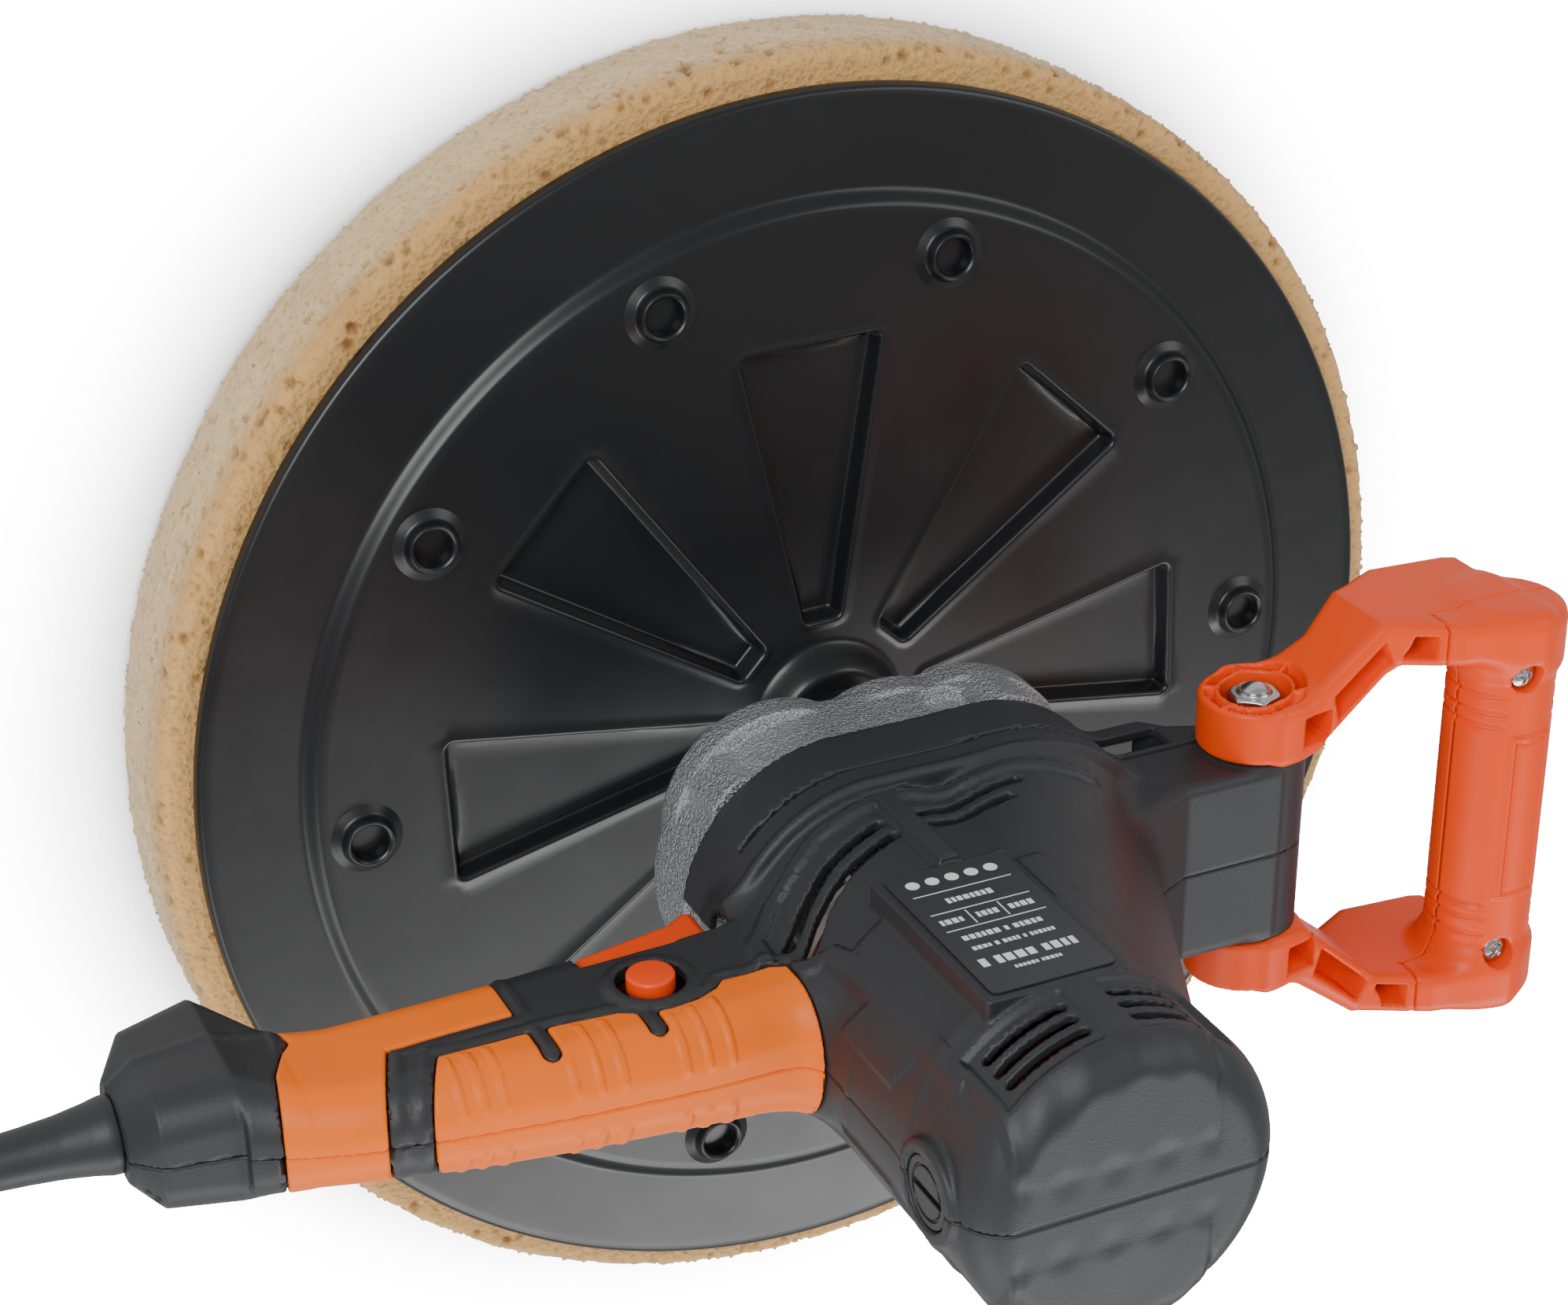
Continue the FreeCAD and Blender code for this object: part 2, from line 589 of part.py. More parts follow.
spindleHole = d.spindleRadius + d.runningFit
keep(group("spindle_bearings",
           ring("bearing_low", spindleHole, d.bearingOuter, d.bearingLowZ, d.bearingLowZ + d.bearingWide),
           ring("bearing_high", spindleHole, d.bearingOuter, d.bearingHighZ,
                d.bearingHighZ + d.bearingWide)), "spindle_bearings")
keep(ring("spindle_seal", d.spindleRadius + 0.2, d.sealRadius, d.neckBottom, d.neckBottom + d.sealThick),
     "spindle_seal")
ballHole = d.shaftRadius + d.runningFit
keep(group("motor_bearings",
           ring("ball_low", ballHole, d.ballOuter, ballSeatLow, ballSeatLow + d.ballWide, (motorX, 0, 0)),
           ring("ball_high", ballHole, d.ballOuter, d.topBallZ, d.topBallZ + d.ballWide, (motorX, 0, 0))),
     "motor_bearings")


# ---- motor -----------------------------------------------------------------------------------

coreHigh = d.coreLow + d.coreTall
commHigh = d.commLow + d.commTall
shaftTop = d.topBallZ + d.ballWide
armatureShaft = turned("armature_rod", [
    (0, firstLow - overlap), (d.shaftRadius - 1.2, firstLow - overlap),
    (d.shaftRadius - 1.2, firstLow + d.firstWide), (d.shaftRadius, firstLow + d.firstWide + 1),
    (d.shaftRadius, ballSeatLow + d.ballWide), (d.shaftRadius + 1, ballSeatLow + d.ballWide + 0.5),
    (d.shaftRadius + 1, commHigh + 1), (d.shaftRadius, commHigh + 1),
    (d.shaftRadius, shaftTop), (0, shaftTop),
], (motorX, 0, 0))
keep(join("armature_shaft", armatureShaft,
          shaped("first_pinion", firstPinion, (motorX, 0, firstLow - overlap))), "armature_shaft")
armBore = d.shaftRadius + 1
slotCount = 12
coreBlank = ring("core_blank", armBore, d.coreRadius, d.coreLow, coreHigh, (motorX, 0, 0))
slotSpots = [polar(d.coreRadius - 4, 360 * i / slotCount, (motorX, 0)) for i in range(slotCount)]
keep(cut("armature_core", coreBlank, *rodsAt("core_slot", slotSpots, 2.6, d.coreLow - 1, d.coreTall + 2)),
     "armature_core")
windingOver = 9.0
windingEnds = [
    ring("winding_low", armBore, d.coreRadius - 2, d.coreLow - windingOver, d.coreLow, (motorX, 0, 0)),
    ring("winding_high", armBore, d.coreRadius - 2, coreHigh, coreHigh + windingOver, (motorX, 0, 0)),
]
windingBars = rodsAt("winding_bar", slotSpots, 2.4, d.coreLow - 1, d.coreTall + 2)
keep(join("armature_windings", *windingEnds, *windingBars), "armature_windings")
keep(ring("commutator", armBore, d.commRadius, d.commLow, commHigh, (motorX, 0, 0)), "commutator")

bladeCount = 9
fanHub = ring("fan_hub", armBore, 9, d.fanLow, d.fanLow + d.fanTall, (motorX, 0, 0))
fanDisc = ring("fan_disc", 8, d.fanRadius, d.fanLow + d.fanTall - 1.5, d.fanLow + d.fanTall, (motorX, 0, 0))
fanBlades = []
for i in range(bladeCount):
    blade = block(f"blade_{i}", (d.fanRadius - 9.5, 1.6, d.fanTall), (motorX, 0, d.fanLow))
    turn = Rotation(Vector(0, 0, 1), 360 * i / bladeCount)
    out = turn.multVec(Vector(8.5, -0.8, 0))
    place(blade, (motorX + out.x, out.y, d.fanLow), turn)
    fanBlades.append(blade)
keep(join("cooling_fan", fanHub, fanDisc, *fanBlades), "cooling_fan")


def sector(name, radius, low, tall, centre, spread):
    """A wedge of a cylinder round the motor axis, `spread` degrees wide."""
    item = rod(name, radius, tall, (motorX, 0, low), turn=Rotation(Vector(0, 0, 1), centre - spread / 2))
    item.Angle = spread
    return item


statorOuter = d.barrelRadius - d.wall
slotSpread, slotMiddle = 22.0, 61.0
statorCuts = [rod("stator_bore", d.statorBore, d.coreTall + 2, (motorX, 0, d.coreLow - 1))]
for i, middle in enumerate((slotMiddle, 180 - slotMiddle, 180 + slotMiddle, 360 - slotMiddle)):
    statorCuts.append(sector(f"stator_slot_{i}", d.coilOuter + 0.4, d.coreLow - 1, d.coreTall + 2,
                             middle, slotSpread + 2))
keep(cut("stator_core", rod("stator_blank", statorOuter, d.coreTall, (motorX, 0, d.coreLow)),
         *statorCuts), "stator_core")

coilSpan = 2 * slotMiddle + slotSpread
windowSpan = 2 * slotMiddle - slotSpread
fieldCoils = []
for i, facing in enumerate((0, 180)):
    outer = sector(f"coil_outer_{i}", d.coilOuter, d.coreLow - d.coilOverhang,
                   d.coreTall + 2 * d.coilOverhang, facing, coilSpan)
    window = sector(f"coil_window_{i}", d.coilOuter + 1, d.coreLow - 0.4, d.coreTall + 0.8,
                    facing, windowSpan)
    middle = rod(f"coil_middle_{i}", d.coilInner, d.coreTall + 2 * d.coilOverhang + 2,
                 (motorX, 0, d.coreLow - d.coilOverhang - 1))
    fieldCoils.append(cut(f"field_coil_{i}", outer, window, middle))
keep(group("field_coils", *fieldCoils), "field_coils")

tubeWall = 1.5
brushOut = d.commRadius + 0.1
holders, brushes, springs, caps = [], [], [], []
capReach = d.barrelRadius + 1
for i, side in enumerate((-1, 1)):
    def across(start, long):
        """X of a block's low corner, from its distance outwards from the motor axis."""
        return motorX + start if side > 0 else motorX - start - long

    tubeStart, tubeLong = d.commRadius + 1.5, capReach - d.capThick - d.commRadius - 1.5
    holder = block(f"holder_outer_{i}",
                   (tubeLong, d.brushWide + 2 * tubeWall, d.brushTall + 2 * tubeWall),
                   (across(tubeStart, tubeLong), -d.brushWide / 2 - tubeWall,
                    d.brushZ - d.brushTall / 2 - tubeWall))
    slot = block(f"holder_slot_{i}", (tubeLong + 4, d.brushWide, d.brushTall),
                 (across(tubeStart - 2, tubeLong + 4), -d.brushWide / 2, d.brushZ - d.brushTall / 2))
    holders.append(cut(f"holder_{i}", holder, slot))
    brushes.append(block(f"brush_{i}", (d.brushLong, d.brushWide, d.brushTall),
                         (across(brushOut, d.brushLong), -d.brushWide / 2, d.brushZ - d.brushTall / 2)))
    springLong = capReach - d.capThick - brushOut - d.brushLong
    lie = Rotation(Vector(0, 1, 0), 90 * side)
    spring = ring(f"spring_{i}", 1.8, 2.6, 0, springLong)
    springs.append(place(spring, (motorX + side * (brushOut + d.brushLong), 0, d.brushZ), lie))
    cap = turned(f"cap_disc_{i}", [(0, 0), (d.capRadius, 0), (d.capRadius, d.capThick - 0.6),
                                   (d.capRadius - 0.6, d.capThick), (0, d.capThick)])
    place(cap, (motorX + side * (capReach - d.capThick), 0, d.brushZ), lie)
    groove = block(f"cap_groove_{i}", (2, 1.6, 13), (across(capReach - 1.2, 2), -0.8, d.brushZ - 6.5))
    caps.append(cut(f"cap_{i}", cap, groove))
keep(group("brush_holders", *holders), "brush_holders")
keep(group("carbon_brushes", *brushes), "carbon_brushes")
keep(group("brush_springs", *springs), "brush_springs")
keep(group("brush_caps", *caps), "brush_caps")


# ---- motor housing and main handle -----------------------------------------------------------

# The handle's cross-sections: name, x, underside z, back z, half width.
HANDLE = [
    ("end face", -238, 148, 177, 10), ("cap edge", -232, 137, 181.5, 15),
    ("cap front", -214, 128, 184.5, 17), ("cap neck", -207, 133, 188, 15.5),
    ("waist", -199, 151, 193, 13), ("band", -188, 155, 196.5, 12.8),
    ("palm", -165, 155.5, 200.5, 13.8), ("palm top", -140, 155.5, 204, 14.4),
    ("button", -111, 154.5, 206.5, 15), ("trigger end", -88, 151, 207, 16.5), ("root", -62, 146, 214, 22),
]


def roundedSection(x, low, high, half, inset):
    """A rounded rectangle across the handle, as a wire of four lines and four arcs."""
    low, high, half = low + inset, high - inset, half - inset
    bend = max(min(11.0, (high - low) / 2 - 1, half - 0.5) - inset * 0.5, 1.0)
    edges = []
    centres = [(half - bend, high - bend, 0), (-half + bend, high - bend, 90),
               (-half + bend, low + bend, 180), (half - bend, low + bend, 270)]

    def spot(cy, cz, degrees):
        turn = math.radians(degrees)
        return Vector(x, cy + bend * math.cos(turn), cz + bend * math.sin(turn))

    for i, (cy, cz, start) in enumerate(centres):
        edges.append(Part.Arc(spot(cy, cz, start), spot(cy, cz, start + 45),
                              spot(cy, cz, start + 90)).toShape())
        ny, nz, following = centres[(i + 1) % 4]
        edges.append(Part.makeLine(spot(cy, cz, start + 90), spot(ny, nz, following)))
    return Part.Wire(edges)


def handleBlank(name, inset):
    inset = float(inset)
    stations = [list(station[1:]) for station in HANDLE]
    stations[0][0] += inset
    wires = [roundedSection(x, low, high, half, inset) for x, low, high, half in stations]
    return shaped(name, Part.makeLoft(wires, True, True))


def shoulder(name, inset):
    """The sloping side that runs from the skirt over the spindle up to the barrel."""
    sections = []
    lowZ = d.skirtTop - 5
    for part, radius, x, z in (("low", d.skirtRadius - 0.5 - inset, 0, lowZ),
                               ("high", d.barrelRadius - 0.6 - inset, motorX, d.shoulderTop - inset)):
        circle = bind(doc.addObject("Part::Circle", f"{name}_{part}"), Radius=radius)
        sections.append(place(circle, (x, 0, z)))
    loft = doc.addObject("Part::Loft", name)
    loft.Sections = sections
    loft.Solid = True
    loft.Ruled = True
    return loft


padLow, padHigh, padHalf = 199.0, 258.0, 18.0
padFace = d.barrelRadius + 0.6
capBossRadius = 12.5
bracketInner = -15.0
barrelStart = d.skirtTop - 4
outerBarrel = roundLevelEdges("barrel_rounded",
                              rod("barrel_outer", d.barrelRadius, d.housingTop - barrelStart,
                                  (motorX, 0, barrelStart)), d.topRound, d.housingTop)
hingeArm = slab("hinge_arm", [
    (bracketInner, d.jointPlane), (44, d.jointPlane), (56, d.jointPlane + 4),
    (d.hingeX, d.hingeZ - d.hingeRadius), (d.hingeX, d.hingeZ + d.hingeRadius),
    (44, d.hingeZ + d.hingeRadius), (30, d.hingeZ + 20), (bracketInner, d.hingeZ + 40),
], -d.bracketHalf, d.bracketHalf * 2, role="XZ_Plane")
brushBosses = rod("brush_boss", capBossRadius, (capReach + 0.5) * 2, (motorX - capReach - 0.5, 0, d.brushZ),
                  "x")
housingOuter = join("housing_outer",
                    obround("skirt_outer", d.skirtRadius, d.jointPlane, d.skirtTop - d.jointPlane),
                    outerBarrel, shoulder("shoulder_outer", 0), hingeArm,
                    rod("hinge_barrel", d.hingeRadius, d.bracketHalf * 2,
                        (d.hingeX, -d.bracketHalf, d.hingeZ), "y"),
                    block("label_pad", (padHalf * 2, 30, padHigh - padLow),
                          (motorX - padHalf - 4, padFace - 30, padLow)),
                    rod("button_ring", d.buttonRing, d.buttonFace - 2, (d.buttonX, 0, d.buttonZ), "y"),
                    brushBosses, handleBlank("handle_outer", 0))
armWall = d.wall + 1
housingInner = join("housing_inner",
                    obround("skirt_inner", d.skirtRadius - d.wall, d.jointPlane - 1,
                            d.skirtTop - d.jointPlane + 1 - d.wall),
                    roundLevelEdges("barrel_inner_rounded",
                                    rod("barrel_inner", statorOuter, d.housingTop - barrelStart - d.wall,
                                        (motorX, 0, barrelStart)), d.topRound - d.wall,
                                    d.housingTop - d.wall),
                    shoulder("shoulder_inner", d.wall),
                    block("arm_inner", (d.hingeX - d.hingeRadius - armWall, (d.bracketHalf - d.wall) * 2,
                                        (d.hingeRadius - armWall) * 2),
                          (0, d.wall - d.bracketHalf, d.hingeZ - d.hingeRadius + armWall)),
                    handleBlank("handle_inner", d.wall))

# Inside the shells: a seat for the top bearing, screw bosses and the trigger pin's bosses.
screwBosses = {"cap": (-222, 149), "palm": (-178, 189), "strap": (-146, 166), "back": (-92, 199.5),
               "arm": (44, 158)}
bossOuter = 4.6
recessRadius = 3.5
innerFeatures = [rod("top_seat", d.ballOuter + 3, d.housingTop - d.topBallZ, (motorX, 0, d.topBallZ - 1))]
for name, (x, z) in screwBosses.items():
    innerFeatures.append(rod(f"shell_boss_{name}", bossOuter, 60, (x, -30, z), "y"))
pivotSeat = 9.0
innerFeatures.append(rod("pivot_boss", 3.4, pivotSeat * 2, (d.pivotX, -pivotSeat, d.pivotZ), "y"))

triggerOpen = (-133.5, 53.0)
paddleOpen = (-123.3, 40.3)
paddleTop = 165.0
far = 400
barrelVents = []
ventTall = 3.2
lowerVents = {"left": (-77, 31), "right": (-36, 27)}
for side, (start, long) in lowerVents.items():
    for level in (0, 1):
        vent = block(f"low_vent_{side}_{level}", (long, 30, ventTall), (start, 12, 176 + level * 7))
        barrelVents.append(vent)
        barrelVents.append(block(f"low_vent_rear_{side}_{level}", (long, 30, ventTall),
                                 (start, -42, 176 + level * 7)))
upperVents = {"left": (-66, 20), "right": (-36, 18)}
for side, (start, long) in upperVents.items():
    for level in range(3):
        for face, corner in (("front", 22), ("rear", -42)):
            barrelVents.append(block(f"top_vent_{face}_{side}_{level}", (long, 20, ventTall - 0.4),
                                     (start, corner, padHigh + 4 + level * 5.2)))

shellOpen = cut("shell_open", housingOuter, housingInner)
shellFilled = join("shell_filled", shellOpen, common("shell_inside", housingOuter,
                                                     group("shell_bosses", *innerFeatures)))
screwPilot = 1.7
pivotHole = d.pinRadius
shellCuts = [
    rod("top_bearing_bore", d.ballOuter, d.ballWide + 1.2, (motorX, 0, d.topBallZ - 1.1)),
    rod("hinge_bore", d.boltRadius + 0.05, 60, (d.hingeX, -30, d.hingeZ), "y"),
    rod("cap_bore", d.capRadius + 0.05, d.barrelRadius * 3,
        (motorX - d.barrelRadius * 1.5, 0, d.brushZ), "x"),
    rod("button_bore", d.buttonRadius + 0.3, 20, (d.buttonX, 8, d.buttonZ), "y"),
    rod("button_dish", d.buttonRadius + 2.4, 6, (d.buttonX, d.buttonFace - 4, d.buttonZ), "y"),
    block("trigger_slot", (triggerOpen[1], (d.tongueHalf + d.triggerGap) * 2, 34),
          (triggerOpen[0], -d.tongueHalf - d.triggerGap, 130)),
    block("trigger_pass", (16, (d.tongueHalf + d.triggerGap) * 2, 20),
          (d.pivotX - 7, -d.tongueHalf - d.triggerGap, 152)),
    block("trigger_mouth", (paddleOpen[1], far / 4, paddleTop + d.triggerGap - 130),
          (paddleOpen[0], -far / 8, 130)),
    rod("pivot_hole", pivotHole, 15, (d.pivotX, -7.5, d.pivotZ), "y"),
    rod("sleeve_hole", 6.05, 12, (d.endX - 6, 0, d.cordZ), "x"),
    *barrelVents,
]
headRest = {"cap": -12, "palm": -9.5, "strap": -10, "back": -12, "arm": -20}
screwReach = 7.5
for name, (x, z) in screwBosses.items():
    shellCuts.append(rod(f"pilot_{name}", screwPilot, 60 + screwReach, (x, -60, z), "y"))
    shellCuts.append(rod(f"recess_{name}", recessRadius, 60 + headRest[name], (x, -60, z), "y"))
shellWhole = cut("shell_whole", shellFilled, *shellCuts)

# Soft grip skin let into the handle: the palm panel, and the narrow band beside the end cap.
skinDeep = 1.6
palmPanel = slab("palm_panel", [
    (-167, 185.6), (-138, 186.5), (-123, 188.2), (-118, 191), (-111, 192.3), (-104, 192), (-98.5, 190),
    (-96, 187.6), (-84, 189), (-80.5, 192), (-80, 221), (-174.5, 221), (-173, 199),
], -30, 60, role="XZ_Plane")
capBand = slab("cap_band", [
    (-197, 150), (-145, 150), (-145, 177.5), (-176.5, 177.5), (-183.5, 198), (-184, 221), (-208, 221),
    (-206.5, 194), (-203, 177), (-199, 168), (-196, 164), (-197, 158),
], -30, 60, role="XZ_Plane")
skinRing = cut("skin_ring", handleBlank("skin_outer", 0), handleBlank("skin_relief", skinDeep),
               rod("skin_button", d.buttonRing, 40, (d.buttonX, -5, d.buttonZ), "y"),
               rod("skin_barrel", d.barrelRadius, 100, (motorX, 0, 140)))
skinZones = join("skin_zones", palmPanel, capBand)
recesses = [rod(f"skin_recess_{name}", recessRadius, 60, (x, -60, z), "y")
            for name, (x, z) in screwBosses.items()]
skin = cut("skin", common("skin_blank", skinRing, skinZones), *recesses)
shellBare = cut("shell_bare", shellWhole, skin)
sides = {"front": block("front_space", (2 * far, far, far), (-far, 0, 0)),
         "rear": block("rear_space", (2 * far, far, far), (-far, -far, 0))}
for side, space in sides.items():
    keep(common(f"housing_{side}", shellBare, space), f"housing_{side}")
    keep(common(f"grip_skin_{side}", skin, space), f"grip_skin_{side}")

shellScrews = []
headTall = 2.0
for name, (x, z) in screwBosses.items():
    start = headRest[name]
    shank = rod(f"shell_screw_shank_{name}", screwPilot, 7 - start, (x, start, z), "y")
    head = rod(f"shell_screw_head_{name}", recessRadius - 0.1, headTall, (x, start - headTall, z), "y")
    shellScrews.append(join(f"shell_screw_{name}", shank, head))
keep(group("shell_screws", *shellScrews), "shell_screws")

labelThick = 0.4
keep(block("rating_label", (padHalf * 2 - 4, labelThick, padHigh - padLow - 4),
           (motorX - padHalf - 2, padFace, padLow + 2)), "rating_label")


# ---- switch, trigger, lock button and wiring parts -------------------------------------------

switchLow, switchHigh = 171.0, 191.0
switchHalf = 9.0
plungerSocket = d.plungerRadius + 0.1
keep(cut("switch_body",
         block("switch_block", (28, switchHalf * 2, switchHigh - switchLow), (-119, -switchHalf, switchLow)),
         rod("plunger_socket", plungerSocket, 9, (d.plungerX, 0, switchLow - 1)),
         rod("button_socket", 2.6, 6, (d.buttonX, switchHalf - 5, d.buttonZ), "y")), "switch_body")
plungerLow = 165.4
keep(rod("switch_plunger", d.plungerRadius, switchLow + 4 - plungerLow, (d.plungerX, 0, plungerLow)),
     "switch_plunger")
keep(rod("trigger_pin", pivotHole, 14.8, (d.pivotX, -7.4, d.pivotZ), "y"), "trigger_pin")
tongue = slab("trigger_tongue", [
    (-131, 158), (-129, 155), (-118, 154.5), (-118, 164.4), (-129, 164.4), (-131, 163),
], -d.tongueHalf, d.tongueHalf * 2, role="XZ_Plane")
paddle = slab("trigger_paddle", [
    (-122.6, 160), (-121, 155.5), (-106, 152.5), (-95, 150.5), (-89, 146.5), (-86.3, 148), (-86.5, 155),
    (-86.5, 162.3), (-99, paddleTop), (-119, paddleTop), (-122.6, 163.6),
], -d.triggerHalf, d.triggerHalf * 2, role="XZ_Plane")
keep(cut("trigger", join("trigger_blank", tongue, paddle),
         rod("trigger_bore", d.pinRadius + 0.05, 20, (d.pivotX, -10, d.pivotZ), "y")), "trigger")
keep(join("lock_button",
          rod("button_cap", d.buttonRadius, d.buttonFace - 13, (d.buttonX, 13, d.buttonZ), "y"),
          rod("button_stem", 2.5, 13 - switchHalf + 1.2, (d.buttonX, switchHalf - 1.2, d.buttonZ), "y")),
     "lock_button")

keep(block("capacitor", (22, 12, 14), (-172, -6, 170)), "capacitor")
clampX, clampLong = -212, 12
leadRadius = d.cordRadius
clampBar = block("clamp_bar", (clampLong, 18, 5), (clampX, -9, d.cordZ + leadRadius - 1.2))
leadPass = rod("lead_pass", leadRadius, 40, (clampX - 10, 0, d.cordZ), "x")
keep(cut("cord_clamp", clampBar, leadPass), "cord_clamp")
clampScrews = [rod(f"clamp_screw_{i}", 1.6, 5.5, (clampX + clampLong / 2, y, d.cordZ + leadRadius + 3.8))
               for i, y in enumerate((-6.5, 6.5))]
keep(group("clamp_screws", *clampScrews), "clamp_screws")


# ---- D-handle --------------------------------------------------------------------------------

earLow = d.bracketHalf + d.earGap
earFace = earLow + d.earThick
gripSplit = 118.0
gripEndInner = 44.0
gripScrewX, gripScrewY = 140.3, 42.5
gripScrewRadius, gripHeadRadius, gripHeadLow = 1.7, 3.9, 181.0
washerRadius = 8.6
washerThick, headThick = 1.6, 5.0
seatDeep, seatRadius = 5.5, 9.5
armPlan = [
    (d.hingeX - 6, earLow), (d.hingeX + 13, earLow), (108, 47.5), (d.gripX, 47.5), (d.gripX, d.gripHalf),
    (103, d.gripHalf), (d.hingeX + 8, earFace), (d.hingeX - 6, earFace),
]
armSide = [
    (d.hingeX, d.hingeZ - d.earRadius), (92, 149), (108, 143), (120, 137), (d.gripX, 139), (160, 141),
    (165, 170), (158, 182), (d.gripX, 186), (122, 181), (104, 171), (90, 171.5),
    (d.hingeX, d.hingeZ + d.earRadius),
]
handleParts, handleCuts = [], []
for side, name in ((1, "left"), (-1, "right")):
    plan = slab(f"arm_plan_{name}", [(x, y * side) for x, y in armPlan], 120, 90)
    profile = slab(f"arm_side_{name}", armSide, -80, 160, role="XZ_Plane")
    handleParts.append(common(f"arm_{name}", plan, profile))
    low = earLow if side > 0 else -earFace
    handleParts.append(rod(f"ear_{name}", d.earRadius, d.earThick, (d.hingeX, low, d.hingeZ), "y"))
    endLow = gripEndInner if side > 0 else -d.gripHalf
    handleParts.append(rod(f"grip_end_{name}", d.gripRadius + 1.5, d.gripHalf - gripEndInner,
                           (d.gripX, endLow, d.gripZ), "y"))
    seat = earFace - seatDeep if side > 0 else -earFace - 1
    handleCuts.append(rod(f"washer_seat_{name}", seatRadius, seatDeep + 1, (d.hingeX, seat, d.hingeZ), "y"))
    windows = ((81.5, 7, 35, 8, 166), (95, 9, 43.5, 7, 164), (109, 8, 53.5, 7, 168))
    for i, (x, long, y, wide, z) in enumerate(windows):
        handleCuts.append(block(f"arm_window_{name}_{i}", (long, wide, 20), (x, side * y - wide / 2, z)))
handleParts.append(rod("grip_bar", d.gripRadius, d.gripHalf * 2, (d.gripX, -d.gripHalf, d.gripZ), "y"))
handleCuts.append(rod("handle_bore", d.boltRadius + 0.05, 100, (d.hingeX, -50, d.hingeZ), "y"))
handleWhole = cut("handle_whole", join("handle_blank", *handleParts), *handleCuts)
coverSpace = block("cover_space", (70, 150, 40), (gripSplit, -75, d.gripZ))
screwSides = (-gripScrewY, gripScrewY)
coverCuts, frameCuts, gripScrews = [], [], []
for i, y in enumerate(screwSides):
    coverCuts.append(rod(f"cover_hole_{i}", gripScrewRadius + 0.5, 60, (gripScrewX, y, 140)))
    coverCuts.append(rod(f"cover_seat_{i}", gripHeadRadius + 0.4, 20, (gripScrewX, y, gripHeadLow)))
    frameCuts.append(rod(f"frame_hole_{i}", gripScrewRadius, 22, (gripScrewX, y, 152)))
    shank = rod(f"grip_screw_shank_{i}", gripScrewRadius, gripHeadLow + 0.5 - 156.5, (gripScrewX, y, 156.5))
    head = rod(f"grip_screw_head_{i}", gripHeadRadius, 2.4, (gripScrewX, y, gripHeadLow))
    gripScrews.append(join(f"grip_screw_{i}", shank, head))
keep(cut("grip_cover", common("cover_blank", handleWhole, coverSpace), *coverCuts), "grip_cover")
keep(cut("handle_frame", handleWhole, coverSpace, *frameCuts), "handle_frame")
keep(group("grip_screws", *gripScrews), "grip_screws")

seatFace = earFace - seatDeep
washerGap = 0.02
washers = [rod("washer_left", washerRadius, washerThick, (d.hingeX, seatFace + washerGap, d.hingeZ), "y"),
           rod("washer_right", washerRadius, washerThick,
               (d.hingeX, -seatFace - washerGap - washerThick, d.hingeZ), "y")]
washerBore = rod("washer_bore", d.boltRadius, 100, (d.hingeX, -50, d.hingeZ), "y")
keep(cut("hinge_washers", group("washer_pair", *washers), washerBore), "hinge_washers")
nutStart = seatFace + washerGap + washerThick


def hexagon(name, acrossFlats, thick, y):
    prism = bind(doc.addObject("Part::Prism", name), Polygon=6,
                 Circumradius=acrossFlats / math.sqrt(3), Height=thick)
    return place(prism, (d.hingeX, y, d.hingeZ), ALONG["y"])


nutFlats = 13.0
keep(join("hinge_bolt",
          rod("bolt_shank", d.boltRadius, nutStart * 2 + 4.5, (d.hingeX, -nutStart, d.hingeZ), "y"),
          hexagon("bolt_head", nutFlats, headThick, -nutStart - headThick)), "hinge_bolt")
nutBlank = join("nut_blank", hexagon("nut_hex", nutFlats, 3.5, nutStart),
                rod("nut_dome", 5.4, 6.2, (d.hingeX, nutStart, d.hingeZ), "y"))
keep(cut("hinge_nut", nutBlank, rod("nut_bore", d.boltRadius, 4.5, (d.hingeX, nutStart, d.hingeZ), "y")),
     "hinge_nut")


# ---- mains lead ------------------------------------------------------------------------------

AWAY = Rotation(Vector(0, 1, 0), -90)
capWall = d.wall
sleeve = turned("cord_sleeve", [
    (d.cordRadius, -capWall - 2.5), (7, -capWall - 2.5), (7, -capWall), (6, -capWall), (6, 0),
    (d.sleeveBase, 0), (d.sleeveBase - 0.6, 5), (7.4, 14), (6.4, 28), (d.sleeveTip, d.sleeveLong),
    (d.cordRadius, d.sleeveLong),
])
keep(place(sleeve, (d.endX - 2, 0, d.cordZ), AWAY), "cord_sleeve")
exitX = d.endX - 2 - d.sleeveLong
keep(rod("inner_lead", d.cordRadius, -208 - exitX, (exitX, 0, d.cordZ), "x"), "inner_lead")

coilX, coilY = -335.0, -34.0
LEAD = [
    (float(exitX), 0, float(d.cordZ)), (-325, 0, float(d.cordZ)), (-355, 4, 145), (-371, 13, 112),
    (-376, 24, 78), (-369, 32, 44), (-350, 33, 17), (-322, 22, 4.6), (-298, 3, 4),
]


